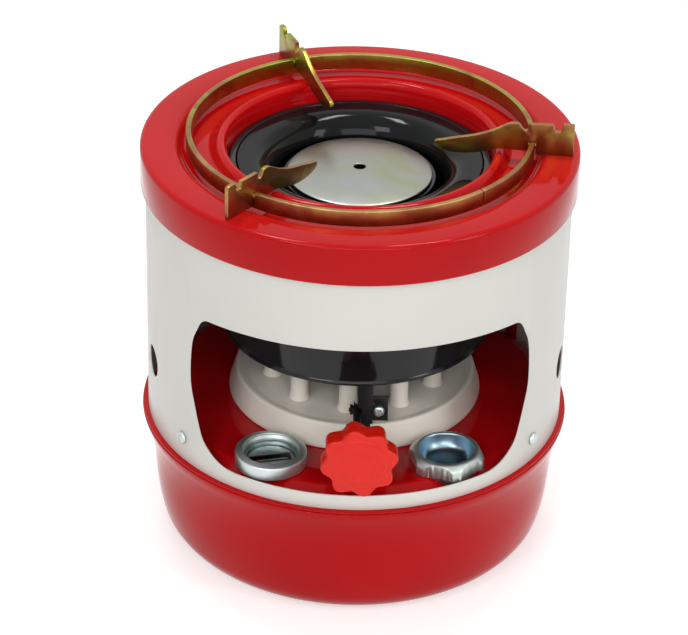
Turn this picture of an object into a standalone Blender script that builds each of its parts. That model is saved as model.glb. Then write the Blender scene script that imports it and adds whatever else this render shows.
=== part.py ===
# A ten-wick kerosene stove with a side knob, a float gauge and a loose pot stand.
# Metres, +Z up, front towards -Y, origin on the ground under the middle of the tank.

import math

import bmesh
import bpy
from mathutils import Matrix, Vector

# Fits shared by all pieces
GAP = 0.0003
OVERRUN = 0.004
WELD = 0.000001
SEAM_WELD = 0.00001
SHEET = 0.001
THIN_SHEET = 0.0008
FRONT = math.radians(-90)

# Wicks and their tubes, which set the sizes across of all that goes round them
WICK_COUNT = 10
WICK_CIRCLE_RADIUS = 0.0513
WICK_FIRST_ANGLE = math.radians(-96.4)
WICK_FOOT_HEIGHT = 0.018
WICK_TIP_HEIGHT = 0.003
TUBE_RADIUS = 0.0054
TUBE_WALL = 0.001
TUBE_STEP = 0.00045
TUBE_TIP_HEIGHT = 0.006
TUBE_TAIL_LENGTH = 0.0075
TUBE_FOOT_RADIUS = 0.0086
TUBE_FOOT_HEIGHT = 0.006

# Sleeves, flame ring, spreader and drum
SLEEVE_CLEARANCE = 0.0008
OUTER_SLEEVE_INNER = WICK_CIRCLE_RADIUS + TUBE_RADIUS + SLEEVE_CLEARANCE
OUTER_SLEEVE_RADIUS = OUTER_SLEEVE_INNER + THIN_SHEET
INNER_SLEEVE_RADIUS = WICK_CIRCLE_RADIUS - TUBE_RADIUS - SLEEVE_CLEARANCE
INNER_RIM_WIDTH = 0.004
FLAME_RING_WIDTH = 0.0155
FLAME_RING_HEIGHT = 0.0032
FLAME_RING_DEPTH = 0.0041
FLAME_RING_RADIUS = OUTER_SLEEVE_INNER + FLAME_RING_WIDTH
SPREADER_INSET = 0.0016
SPREADER_THICKNESS = 0.0025
SPREADER_HOLE_RADIUS = 0.0035
PIN_RADIUS = 0.0012
PIN_COUNT = 3
PIN_FIRST_ANGLE = math.radians(45)
DRUM_FLANGE_WIDTH = 0.0025
DRUM_HEIGHT = 0.1057

# Top plate, round the flame ring
COLLAR_CLEARANCE = 0.005
COLLAR_WIDTH = 0.0095
COLLAR_DEPTH = 0.015
COLLAR_DRUM_WIDTH = 0.003
GROOVE_WIDTH = 0.018
GROOVE_DEPTH = 0.005
GROOVE_SLOPE_WIDTH = 0.004
PLATE_SKIRT_HEIGHT = 0.0248
PLATE_EDGE = 0.003
PLATE_OVERHANG = 0.003
COLLAR_RADIUS = FLAME_RING_RADIUS + COLLAR_CLEARANCE
DRUM_RADIUS = COLLAR_RADIUS + COLLAR_DRUM_WIDTH
GROOVE_INNER_RADIUS = COLLAR_RADIUS + COLLAR_WIDTH
GROOVE_OUTER_RADIUS = GROOVE_INNER_RADIUS + GROOVE_WIDTH
RIM_INNER_RADIUS = GROOVE_OUTER_RADIUS + GROOVE_SLOPE_WIDTH

# Burner plate, round the feet of the wick tubes
BURNER_DISH_MARGIN = 0.0061
BURNER_DISH_DEPTH = 0.0018
BURNER_PLATE_RIM_WIDTH = 0.0067
BURNER_PLATE_SLOPE_WIDTH = 0.0045
BURNER_PLATE_SHEET = 0.0012
BURNER_DISH_RADIUS = WICK_CIRCLE_RADIUS + TUBE_FOOT_RADIUS + BURNER_DISH_MARGIN
BURNER_PLATE_RIM = BURNER_DISH_RADIUS + BURNER_PLATE_RIM_WIDTH
BURNER_PLATE_FOOT = BURNER_PLATE_RIM + BURNER_PLATE_SLOPE_WIDTH

# Filler and gauge, both on one circle between the burner plate and the shell
FITTING_CLEARANCE = 0.0033
FILLER_ANGLE = math.radians(-59.6)
FILLER_CAP_RADIUS = 0.0225
FILLER_CAP_HEIGHT = 0.0092
FILLER_SCALLOPS = 6
FILLER_SCALLOP_DEPTH = 0.0022
FILLER_SCALLOP_PHASE = math.radians(-17)
FILLER_SHOULDER_WIDTH = 0.0029
FILLER_NECK_INSET = 0.0039
FILLER_NECK_HEIGHT = 0.0065
FILLER_RECESS_CLEARANCE = 0.0001
FILLER_RECESS_SLOPE_WIDTH = 0.0061
FITTING_CIRCLE_RADIUS = BURNER_PLATE_FOOT + FITTING_CLEARANCE + FILLER_CAP_RADIUS
FILLER_NECK_RADIUS = FILLER_CAP_RADIUS - FILLER_NECK_INSET
FILLER_RECESS_RADIUS = FILLER_NECK_RADIUS - SHEET - FILLER_RECESS_CLEARANCE
FILLER_RECESS_FLOOR_RADIUS = FILLER_RECESS_RADIUS - FILLER_RECESS_SLOPE_WIDTH
GAUGE_ANGLE = math.radians(-120.2)
GAUGE_BEZEL_INSET = 0.0012
GAUGE_BEZEL_WIDTH = 0.0049
GAUGE_BEZEL_HEIGHT = 0.0092
GAUGE_CUP_WALL = 0.0014
GAUGE_SPINDLE_DEPTH = 0.008
GAUGE_SPINDLE_ANGLE = math.radians(10.6)
GAUGE_BEZEL_RADIUS = FILLER_CAP_RADIUS - GAUGE_BEZEL_INSET
GAUGE_BORE_RADIUS = GAUGE_BEZEL_RADIUS - GAUGE_BEZEL_WIDTH
FLOAT_ARM = 0.054
FLOAT_RADIUS = 0.009
FLOAT_LENGTH = 0.018
FLOAT_REST_ANGLE = math.radians(72)

# Outer shell, round the fittings, and the tank under it
SHELL_CLEARANCE = 0.0015
SHELL_HEIGHT = 0.1685
WINDOW_CLEARANCE = 0.001
WINDOW_HEIGHT = 0.0985
WINDOW_HALF_ANGLE = math.radians(51.2)
SIDE_HOLE_RADIUS = 0.009
SIDE_HOLE_HEIGHT = 0.0355
SIDE_HOLE_MARGIN_ANGLE = math.radians(23.8)
SHELL_SCREW_HEIGHT = 0.0062
SHELL_SCREW_MARGIN_ANGLE = math.radians(4)
SHELL_RADIUS = FITTING_CIRCLE_RADIUS + FILLER_CAP_RADIUS + SHELL_CLEARANCE
PLATE_RADIUS = SHELL_RADIUS + PLATE_OVERHANG
TANK_BOWL_HEIGHT = 0.0815
TANK_FLANGE_OVERHANG = 0.0032
TANK_LIP_OVERHANG = 0.0004
TANK_SHOULDER_INSET = 0.0025
TANK_MOUTH_INSET = 0.0047
PLATEAU_HEIGHT = 0.0087
PLATEAU_MARGIN = 0.01
TANK_SEAM_RADIUS = SHELL_RADIUS + TANK_FLANGE_OVERHANG
TANK_LIP_RADIUS = TANK_SEAM_RADIUS + TANK_LIP_OVERHANG
TANK_SHOULDER_RADIUS = SHELL_RADIUS - TANK_SHOULDER_INSET
TANK_MOUTH_RADIUS = BURNER_PLATE_FOOT - TANK_MOUTH_INSET
PLATEAU_RADIUS = FITTING_CIRCLE_RADIUS + PLATEAU_MARGIN

# Wick lift: carrier, rack and pinion
LIFT_STROKE = 0.012
CARRIER_DEPTH = 0.0305
CARRIER_THICKNESS = 0.002
CARRIER_RIM_WIDTH = 0.0072
GEAR_MODULE = 0.0008
GEAR_TIP_SHARE = 0.85
GEAR_ROOT_SHARE = 1.3
PINION_TEETH = 10
GEAR_WIDTH = 0.003
GEAR_SETBACK = 0.0194
RACK_BACK = 0.003
RACK_TOP_HEIGHT = 0.0163
RACK_TEETH_DEPTH = 0.0157
RACK_FOOT_DROP = 0.003
RACK_HEADROOM = 0.004
GUIDE_CLEARANCE = 0.0004
GUIDE_WEB_WIDTH = 0.00894
GUIDE_SCREW_WIDTH = 0.00366
GUIDE_SCREW_DEPTH = 0.0016
LUG_SETBACK = 0.001
GEAR_FRONT = WICK_CIRCLE_RADIUS + GEAR_SETBACK
GEAR_BACK = GEAR_FRONT - GEAR_WIDTH

# Knob and its shaft
SHAFT_RADIUS = 0.0025
SHAFT_SIDE = -0.001
SHAFT_DISH_HEIGHT = 0.0107
KNOB_RADIUS = 0.0229
KNOB_LOBES = 8
KNOB_LOBE_DEPTH = 0.003
KNOB_REACH = 0.003
KNOB_THICKNESS = 0.014
KNOB_EDGE = 0.002
KNOB_BORE_DEPTH = 0.01
KNOB_PHASE = math.radians(10)
KNOB_FRONT = SHELL_RADIUS + KNOB_REACH

# Pot stand, on the rim of the top plate
STAND_RING_CLEARANCE = 0.0027
STAND_RING_THICKNESS = 0.0032
STAND_RING_DROP = 0.002
STAND_RING_HEIGHT = 0.0096
STAND_RING_SEAM = 0.0008
STAND_SEAM_ANGLE = math.radians(-41.6)
STAND_ARM_COUNT = 3
STAND_ARM_FIRST_ANGLE = math.radians(-8.4)
STAND_ARM_THICKNESS = 0.0025
STAND_ARM_TIP_RADIUS = 0.041
STAND_ARM_INSET = 0.0045
STAND_ARM_HEIGHT = 0.0204
STAND_RING_RADIUS = GROOVE_OUTER_RADIUS - STAND_RING_CLEARANCE
STAND_ARM_END_RADIUS = PLATE_RADIUS - STAND_ARM_INSET

# Heights above the ground, each from what carries it
SEAM_LEVEL = TANK_BOWL_HEIGHT + GAP + SHEET
SHELL_LOW = SEAM_LEVEL + GAP
PLATEAU_LEVEL = SEAM_LEVEL + PLATEAU_HEIGHT
FITTING_SEAT = PLATEAU_LEVEL + GAP
FITTING_FLANGE = THIN_SHEET
PLATE_LEVEL = PLATEAU_LEVEL + SHELL_HEIGHT
SHELL_TOP = PLATE_LEVEL - SHEET - GAP
SHELL_INNER_RADIUS = SHELL_RADIUS - THIN_SHEET
WINDOW_LOW = PLATEAU_LEVEL + WINDOW_CLEARANCE
SIDE_HOLE_LEVEL = PLATEAU_LEVEL + SIDE_HOLE_HEIGHT
SHELL_SCREW_LEVEL = PLATEAU_LEVEL + SHELL_SCREW_HEIGHT
SHAFT_LEVEL = WINDOW_LOW + GAP + KNOB_RADIUS
BURNER_DISH_LEVEL = SHAFT_LEVEL - SHAFT_DISH_HEIGHT
BURNER_PLATE_LEVEL = BURNER_DISH_LEVEL + BURNER_DISH_DEPTH
RACK_TOP = SHAFT_LEVEL + RACK_TOP_HEIGHT
GALLERY_LEVEL = RACK_TOP + LIFT_STROKE + RACK_HEADROOM
TUBE_LOW = PLATEAU_LEVEL - TUBE_TAIL_LENGTH
TUBE_TOP = GALLERY_LEVEL + TUBE_TIP_HEIGHT
TUBE_SHOULDER = GALLERY_LEVEL - THIN_SHEET - GAP
WICK_TOP = TUBE_TOP + WICK_TIP_HEIGHT
CARRIER_LEVEL = PLATEAU_LEVEL - CARRIER_DEPTH
GAUGE_SPINDLE_LEVEL = PLATEAU_LEVEL - GAUGE_SPINDLE_DEPTH
DRUM_TOP = PLATE_LEVEL - COLLAR_DEPTH - GAP
DRUM_LOW = DRUM_TOP - DRUM_HEIGHT
FLAME_RING_SEAT = DRUM_TOP + GAP
FLAME_RING_INNER_LEVEL = FLAME_RING_SEAT - FLAME_RING_DEPTH
SLEEVE_LOW = GALLERY_LEVEL + GAP
OUTER_SLEEVE_TOP = FLAME_RING_INNER_LEVEL - THIN_SHEET - GAP
STAND_RING_LOW = PLATE_LEVEL - STAND_RING_DROP

# Sizes that follow from those above
TUBE_BORE = TUBE_RADIUS - TUBE_WALL
TUBE_NECK_RADIUS = TUBE_RADIUS - TUBE_STEP
PINION_PITCH_RADIUS = GEAR_MODULE * PINION_TEETH / 2
GEAR_PITCH = GEAR_MODULE * math.pi
RACK_PITCH_LINE = SHAFT_SIDE + PINION_PITCH_RADIUS
GEAR_TIP = GEAR_MODULE * GEAR_TIP_SHARE
GEAR_ROOT = GEAR_MODULE * GEAR_ROOT_SHARE
RACK_SIDE = RACK_PITCH_LINE + GEAR_ROOT + RACK_BACK
GUIDE_SIDE = RACK_SIDE + GUIDE_CLEARANCE + SHEET
GUIDE_FRONT = GEAR_FRONT + GAP + SHEET
GUIDE_SCREW_SIDE = GUIDE_SIDE + GUIDE_SCREW_WIDTH
GUIDE_SCREW_LEVEL = SHAFT_LEVEL - GUIDE_SCREW_DEPTH
LUG_FRONT = GEAR_BACK - LUG_SETBACK

# Sides of the facets round each size of piece
LARGE_STEPS = 48
MIDDLE_STEPS = 36
SMALL_STEPS = 32
BORE_STEPS = 16
TUBE_STEPS = 10
HOLE_STEPS = 8
SMOOTH_ANGLE = math.radians(35)


def clear_scene():
    for item in list(bpy.data.objects):
        bpy.data.objects.remove(item, do_unlink=True)


def new_collection(name):
    collection = bpy.data.collections.new(name)
    bpy.context.scene.collection.children.link(collection)
    return collection


clear_scene()
PARTS = new_collection("kerosene_stove")
CUTTERS = new_collection("cutters")


def finish(name, colour, roughness, metallic):
    material = bpy.data.materials.new(name)
    material.use_nodes = True
    shader = material.node_tree.nodes["Principled BSDF"]
    shader.inputs["Base Color"].default_value = (*colour, 1)
    shader.inputs["Roughness"].default_value = roughness
    shader.inputs["Metallic"].default_value = metallic
    return material


def red_enamel(name):
    return finish(name, (0.5, 0.012, 0.014), 0.2, 0)


def cream_enamel(name):
    return finish(name, (0.72, 0.71, 0.66), 0.3, 0)


def black_enamel(name):
    return finish(name, (0.015, 0.015, 0.017), 0.3, 0)


def zinc_plate(name):
    return finish(name, (0.55, 0.58, 0.6), 0.3, 1)


def gold_passivate(name):
    return finish(name, (0.32, 0.16, 0.06), 0.4, 1)


def knob_plastic(name):
    return finish(name, (0.85, 0.03, 0.01), 0.35, 0)


def wick_cotton(name):
    return finish(name, (0.75, 0.7, 0.6), 0.95, 0)


def oil_rubber(name):
    return finish(name, (0.03, 0.03, 0.03), 0.8, 0)


def clear_glass(name):
    return finish(name, (0.8, 0.85, 0.85), 0.05, 0)


def place(name, mesh, material=None):
    item = bpy.data.objects.new(name, mesh)
    if material is None:
        item.hide_render = True
        item.display_type = "WIRE"
        CUTTERS.objects.link(item)
        return item
    mesh.materials.append(material)
    PARTS.objects.link(item)
    return item


# Profiles and solids


def sheet(points, thickness):
    # The line of points is the sheet's seen side; the thickness lies on the right of its way.
    ways = []
    for start, end in zip(points, points[1:]):
        way = Vector(end) - Vector(start)
        ways.append(way.normalized())
    back = []
    for index, point in enumerate(points):
        before = ways[max(index - 1, 0)]
        after = ways[min(index, len(ways) - 1)]
        square = Vector((before.y + after.y, -before.x - after.x)).normalized()
        reach = thickness / square.dot(Vector((after.y, -after.x)))
        back.append(tuple(Vector(point) + square * reach))
    return list(points) + back[::-1]


def turned_mesh(name, outline):
    area = 0
    for start, end in zip(outline, outline[1:] + outline[:1]):
        area += start[0] * end[1] - end[0] * start[1]
    points = outline[::-1] if area > 0 else outline
    mesh = bpy.data.meshes.new(name)
    builder = bmesh.new()
    corners = [builder.verts.new((radius, 0, height)) for radius, height in points]
    for start, end in zip(corners, corners[1:] + corners[:1]):
        on_axis = abs(start.co.x) < GAP and abs(end.co.x) < GAP
        if not on_axis:
            builder.edges.new((start, end))
    builder.to_mesh(mesh)
    builder.free()
    return mesh


def turned(name, outline, material, steps):
    item = place(name, turned_mesh(name, outline), material)
    screw = item.modifiers.new("Turn", "SCREW")
    screw.steps = steps
    screw.render_steps = steps
    screw.use_merge_vertices = True
    screw.merge_threshold = SEAM_WELD
    screw.use_smooth_shade = True
    return item


def as_mesh(item):
    bpy.context.view_layer.update()
    graph = bpy.context.evaluated_depsgraph_get()
    return bpy.data.meshes.new_from_object(item.evaluated_get(graph))


def baked_turned(name, outline, steps):
    # A turned solid as a plain mesh, for shapes that are reworked point by point.
    raw = turned(name, outline, None, steps)
    mesh = as_mesh(raw)
    bpy.data.objects.remove(raw, do_unlink=True)
    return mesh


def rod_mesh(name, radius, start, end, steps):
    way = Vector(end) - Vector(start)
    middle = (Vector(end) + Vector(start)) / 2
    turn = way.to_track_quat("Z", "Y").to_matrix().to_4x4()
    mesh = bpy.data.meshes.new(name)
    builder = bmesh.new()
    bmesh.ops.create_cone(
        builder,
        cap_ends=True,
        segments=steps,
        radius1=radius,
        radius2=radius,
        depth=way.length,
        matrix=Matrix.Translation(middle) @ turn,
    )
    builder.to_mesh(mesh)
    builder.free()
    mesh.shade_smooth()
    mesh.set_sharp_from_angle(angle=SMOOTH_ANGLE)
    return mesh


def rod(name, radius, start, end, material=None, steps=BORE_STEPS):
    return place(name, rod_mesh(name, radius, start, end, steps), material)


def box(name, low, high, material=None):
    mesh = bpy.data.meshes.new(name)
    builder = bmesh.new()
    size = Vector(high) - Vector(low)
    middle = (Vector(high) + Vector(low)) / 2
    scale = Matrix.Diagonal((*size, 1))
    bmesh.ops.create_cube(builder, size=1, matrix=Matrix.Translation(middle) @ scale)
    builder.to_mesh(mesh)
    builder.free()
    return place(name, mesh, material)


def prism_mesh(name, points, thickness, bevel=0):
    curve = bpy.data.curves.new(name, "CURVE")
    curve.dimensions = "2D"
    curve.fill_mode = "BOTH"
    curve.extrude = thickness / 2 - bevel
    curve.bevel_depth = bevel
    curve.bevel_resolution = 1
    curve.offset = -bevel
    spline = curve.splines.new("POLY")
    spline.points.add(len(points) - 1)
    for corner, point in zip(spline.points, points):
        corner.co = (*point, 0, 1)
    spline.use_cyclic_u = True
    flat = bpy.data.objects.new(name, curve)
    CUTTERS.objects.link(flat)
    mesh = as_mesh(flat)
    bpy.data.objects.remove(flat, do_unlink=True)
    builder = bmesh.new()
    builder.from_mesh(mesh)
    bmesh.ops.remove_doubles(builder, verts=builder.verts, dist=WELD)
    bmesh.ops.recalc_face_normals(builder, faces=builder.faces)
    builder.to_mesh(mesh)
    builder.free()
    mesh.materials.clear()
    return mesh


def prism(name, points, thickness, material=None, bevel=0):
    return place(name, prism_mesh(name, points, thickness, bevel), material)


def wire(name, points, radius, material):
    curve = bpy.data.curves.new(name, "CURVE")
    curve.dimensions = "3D"
    curve.bevel_depth = radius
    curve.bevel_resolution = 1
    curve.use_fill_caps = True
    spline = curve.splines.new("POLY")
    spline.points.add(len(points) - 1)
    for corner, point in zip(spline.points, points):
        corner.co = (*point, 1)
    return place(name, curve, material)


def combine(item, tool, operation):
    modifier = item.modifiers.new(tool.name, "BOOLEAN")
    modifier.operation = operation
    modifier.solver = "EXACT"
    modifier.object = tool


def cut(item, tool):
    combine(item, tool, "DIFFERENCE")


def join(item, tool):
    combine(item, tool, "UNION")


def polar(radius, angle, height=0):
    return (radius * math.cos(angle), radius * math.sin(angle), height)


def bore_down(item, name, radius, centre, low, high, steps=BORE_STEPS):
    start = (centre[0], centre[1], low)
    end = (centre[0], centre[1], high)
    cut(item, rod(name, radius, start, end, steps=steps))


def bore_radial(item, name, radius, angle, level, inner, outer, steps=BORE_STEPS):
    start = polar(inner, angle, level)
    end = polar(outer, angle, level)
    cut(item, rod(name, radius, start, end, steps=steps))


# Places that several pieces share
FILLER_PLACE = polar(FITTING_CIRCLE_RADIUS, FILLER_ANGLE)
GAUGE_PLACE = polar(FITTING_CIRCLE_RADIUS, GAUGE_ANGLE)


def wick_places():
    for index in range(WICK_COUNT):
        yield index + 1, WICK_FIRST_ANGLE + math.tau * index / WICK_COUNT


def shell_screw_angles():
    aside = WINDOW_HALF_ANGLE + SHELL_SCREW_MARGIN_ANGLE
    for side in (-1, 1):
        yield FRONT + side * aside
        yield -FRONT + side * aside


# Fuel tank

TANK_WALL_SHARES = (
    (1.0, 1.0),
    (0.972, 0.857),
    (0.952, 0.71),
    (0.9395, 0.466),
    (0.92, 0.24),
    (0.8975, 0.12),
    (0.85, 0.035),
    (0.766, 0.0),
)


def tank_bowl():
    side = [
        (TANK_LIP_RADIUS * across, TANK_BOWL_HEIGHT * up)
        for across, up in TANK_WALL_SHARES
    ]
    outline = sheet(side + [(0, 0)], SHEET)
    return turned("tank_bowl", outline, red_enamel("tank_bowl"), LARGE_STEPS)


TAB_WIDTH = 0.014
TAB_THICKNESS = 0.0012
TAB_TIP_HEIGHT = 0.0053
TAB_CLEARANCE = 0.0009
TAB_RADIUS = SHELL_INNER_RADIUS - TAB_CLEARANCE
SCREW_RADIUS = 0.0016


def tank_top():
    side = [
        (TANK_MOUTH_RADIUS, PLATEAU_LEVEL),
        (PLATEAU_RADIUS, PLATEAU_LEVEL),
        (TANK_SHOULDER_RADIUS, SEAM_LEVEL),
        (TANK_SEAM_RADIUS, SEAM_LEVEL),
    ]
    item = turned("tank_top", sheet(side, SHEET), red_enamel("tank_top"), LARGE_STEPS)
    for index, angle in enumerate(shell_screw_angles()):
        low = (TAB_RADIUS - TAB_THICKNESS, -TAB_WIDTH / 2, SEAM_LEVEL - SHEET / 2)
        high = (TAB_RADIUS, TAB_WIDTH / 2, SHELL_SCREW_LEVEL + TAB_TIP_HEIGHT)
        tab = box(f"shell_tab_{index + 1}", low, high)
        tab.rotation_euler.z = angle
        join(item, tab)
    for index, angle in enumerate(shell_screw_angles()):
        name = f"tab_hole_{index + 1}"
        inner = TAB_RADIUS - TAB_THICKNESS - OVERRUN
        outer = TAB_RADIUS + OVERRUN
        bore_radial(item, name, SCREW_RADIUS + GAP, angle, SHELL_SCREW_LEVEL, inner, outer, TUBE_STEPS)
    low = SEAM_LEVEL - SHEET - OVERRUN
    high = PLATEAU_LEVEL + OVERRUN
    bore_down(item, "filler_hole", FILLER_NECK_RADIUS + GAP, FILLER_PLACE, low, high, SMALL_STEPS)
    bore_down(item, "gauge_hole", GAUGE_BORE_RADIUS, GAUGE_PLACE, low, high, SMALL_STEPS)
    return item


# Outer shell and its screws

WINDOW_SHARES = (
    (1.0, 0.8),
    (0.985, 0.852),
    (0.945, 0.892),
    (0.9, 0.934),
    (0.787, 0.982),
    (0.635, 1.0),
    (0.482, 1.0),
    (0.35, 0.972),
    (0.198, 0.932),
    (0.117, 0.898),
    (0.045, 0.825),
    (0.01, 0.752),
    (0.0, 0.684),
)


def window_outline():
    right = []
    for up, across in WINDOW_SHARES:
        height = WINDOW_LOW + WINDOW_HEIGHT * up
        right.append((SHELL_RADIUS * math.sin(WINDOW_HALF_ANGLE * across), height))
    left = [(-across, height) for across, height in reversed(right)]
    return right + left


def window_cutter():
    near = SHELL_RADIUS + OVERRUN
    far = SHELL_RADIUS * math.cos(WINDOW_HALF_ANGLE) - OVERRUN
    item = prism("window_cutter", window_outline(), near - far)
    item.rotation_euler.x = -FRONT
    item.location.y = -(near + far) / 2
    return item


def shell():
    side = [(SHELL_RADIUS, SHELL_TOP), (SHELL_RADIUS, SHELL_LOW)]
    item = turned("shell", sheet(side, THIN_SHEET), cream_enamel("shell"), LARGE_STEPS)
    cut(item, window_cutter())
    inner = SHELL_INNER_RADIUS - OVERRUN
    outer = SHELL_RADIUS + OVERRUN
    for side in (-1, 1):
        name = "side_hole_left" if side < 0 else "side_hole_right"
        angle = FRONT + side * (WINDOW_HALF_ANGLE + SIDE_HOLE_MARGIN_ANGLE)
        bore_radial(item, name, SIDE_HOLE_RADIUS, angle, SIDE_HOLE_LEVEL, inner, outer)
    for index, angle in enumerate(shell_screw_angles()):
        name = f"shell_screw_hole_{index + 1}"
        bore_radial(item, name, SCREW_RADIUS + GAP, angle, SHELL_SCREW_LEVEL, inner, outer, TUBE_STEPS)
    return item


SCREW_HEAD_RADIUS = 0.004
SCREW_HEAD_HEIGHT = 0.0022
SCREW_HEAD_EDGE = 0.0008
SCREW_LENGTH = 0.007


def pan_screw_outline(head_radius, length):
    return [
        (0, SCREW_HEAD_HEIGHT),
        (head_radius - SCREW_HEAD_EDGE, SCREW_HEAD_HEIGHT - SCREW_HEAD_EDGE / 2),
        (head_radius, SCREW_HEAD_EDGE),
        (head_radius, 0),
        (SCREW_RADIUS, 0),
        (SCREW_RADIUS, -length),
        (0, -length),
    ]


def shell_screws():
    for index, angle in enumerate(shell_screw_angles()):
        name = f"shell_screw_{index + 1}"
        outline = pan_screw_outline(SCREW_HEAD_RADIUS, SCREW_LENGTH)
        item = turned(name, outline, zinc_plate(name), TUBE_STEPS)
        item.rotation_euler = (0, -FRONT, angle)
        item.location = polar(SHELL_RADIUS + GAP, angle, SHELL_SCREW_LEVEL)


# Top plate

COLLAR_SHARES = ((0.0, 1.0), (0.02, 0.467), (0.17, 0.107), (0.44, 0.0), (0.74, 0.067))
EDGE_ROUND_SHARE = 0.3


def top_plate():
    side = [
        (COLLAR_RADIUS + COLLAR_WIDTH * across, PLATE_LEVEL - COLLAR_DEPTH * down)
        for across, down in COLLAR_SHARES
    ]
    side += [
        (GROOVE_INNER_RADIUS, PLATE_LEVEL - GROOVE_DEPTH),
        (GROOVE_OUTER_RADIUS, PLATE_LEVEL - GROOVE_DEPTH),
        (RIM_INNER_RADIUS, PLATE_LEVEL),
        (PLATE_RADIUS - PLATE_EDGE, PLATE_LEVEL),
        (PLATE_RADIUS - PLATE_EDGE * EDGE_ROUND_SHARE, PLATE_LEVEL - PLATE_EDGE * EDGE_ROUND_SHARE),
        (PLATE_RADIUS, PLATE_LEVEL - PLATE_EDGE),
        (PLATE_RADIUS, PLATE_LEVEL - PLATE_SKIRT_HEIGHT),
    ]
    return turned("top_plate", sheet(side, SHEET), red_enamel("top_plate"), LARGE_STEPS)


# Burner drum, flame ring, sleeves and spreader

DRUM_EDGE = 0.0015


def burner_drum():
    side = [
        (FLAME_RING_RADIUS - DRUM_FLANGE_WIDTH, DRUM_TOP),
        (DRUM_RADIUS - DRUM_EDGE, DRUM_TOP),
        (DRUM_RADIUS, DRUM_TOP - DRUM_EDGE),
        (DRUM_RADIUS, DRUM_LOW + DRUM_EDGE),
        (DRUM_RADIUS - DRUM_EDGE, DRUM_LOW),
    ]
    return turned("burner_drum", sheet(side, THIN_SHEET), black_enamel("burner_drum"), MIDDLE_STEPS)


FLAME_RING_SHARES = ((0.0, -1.0), (0.19, -0.76), (0.45, -0.02), (0.77, 0.92), (0.93, 1.0), (1.0, 0.65))


def flame_ring():
    side = []
    for across, up in FLAME_RING_SHARES:
        rise = FLAME_RING_HEIGHT if up > 0 else FLAME_RING_DEPTH
        side.append((OUTER_SLEEVE_INNER + FLAME_RING_WIDTH * across, FLAME_RING_SEAT + rise * up))
    side.append((FLAME_RING_RADIUS, FLAME_RING_SEAT))
    return turned("flame_ring", sheet(side, THIN_SHEET), black_enamel("flame_ring"), MIDDLE_STEPS)


PERFORATION_ROW_SHARES = (0.215, 0.707)
PIN_ROW_SHARE = 0.456
PERFORATIONS = 8
PERFORATION_RADIUS = 0.0025
SLEEVE_HEIGHT = OUTER_SLEEVE_TOP - SLEEVE_LOW
PIN_LEVEL = SLEEVE_LOW + SLEEVE_HEIGHT * PIN_ROW_SHARE


def perforate(item, name, inner, outer):
    for row, share in enumerate(PERFORATION_ROW_SHARES):
        level = SLEEVE_LOW + SLEEVE_HEIGHT * share
        for index in range(PERFORATIONS):
            angle = math.tau * (index + 0.5) / PERFORATIONS
            hole = f"{name}_hole_{row + 1}_{index + 1}"
            bore_radial(item, hole, PERFORATION_RADIUS, angle, level, inner, outer, HOLE_STEPS)


def pin_angles():
    for index in range(PIN_COUNT):
        yield PIN_FIRST_ANGLE + math.tau * index / PIN_COUNT


def sleeve(name, side):
    item = turned(name, sheet(side, THIN_SHEET), black_enamel(name), SMALL_STEPS)
    radius = side[-1][0]
    inner = radius - THIN_SHEET - OVERRUN
    outer = radius + OVERRUN
    perforate(item, name, inner, outer)
    for index, angle in enumerate(pin_angles()):
        hole = f"{name}_pin_hole_{index + 1}"
        bore_radial(item, hole, PIN_RADIUS + GAP, angle, PIN_LEVEL, inner, outer, TUBE_STEPS)
    return item


def sleeves():
    sleeve("outer_sleeve", [(OUTER_SLEEVE_RADIUS, OUTER_SLEEVE_TOP), (OUTER_SLEEVE_RADIUS, SLEEVE_LOW)])
    inner_side = [
        (INNER_SLEEVE_RADIUS - INNER_RIM_WIDTH, OUTER_SLEEVE_TOP),
        (INNER_SLEEVE_RADIUS, OUTER_SLEEVE_TOP),
        (INNER_SLEEVE_RADIUS, SLEEVE_LOW),
    ]
    sleeve("inner_sleeve", inner_side)


def cross_pins():
    for index, angle in enumerate(pin_angles()):
        name = f"cross_pin_{index + 1}"
        start = polar(INNER_SLEEVE_RADIUS - THIN_SHEET - PIN_RADIUS, angle, PIN_LEVEL)
        end = polar(OUTER_SLEEVE_RADIUS + PIN_RADIUS, angle, PIN_LEVEL)
        rod(name, PIN_RADIUS, start, end, black_enamel(name), TUBE_STEPS)


SPREADER_EDGE = 0.0009


def flame_spreader():
    radius = INNER_SLEEVE_RADIUS - SPREADER_INSET
    low = OUTER_SLEEVE_TOP + GAP
    high = low + SPREADER_THICKNESS
    outline = [
        (SPREADER_HOLE_RADIUS, high),
        (radius - SPREADER_EDGE, high),
        (radius, high - SPREADER_EDGE),
        (radius, low + SPREADER_EDGE),
        (radius - SPREADER_EDGE, low),
        (SPREADER_HOLE_RADIUS, low),
    ]
    return turned("flame_spreader", outline, zinc_plate("flame_spreader"), SMALL_STEPS)


# Burner plate, wick tubes, gallery and wicks

LUG_CLEARANCE = 0.00036
LUG_WIDTH = 0.0067
LUG_THICKNESS = 0.0018
LUG_TIP_HEIGHT = 0.0043


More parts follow.
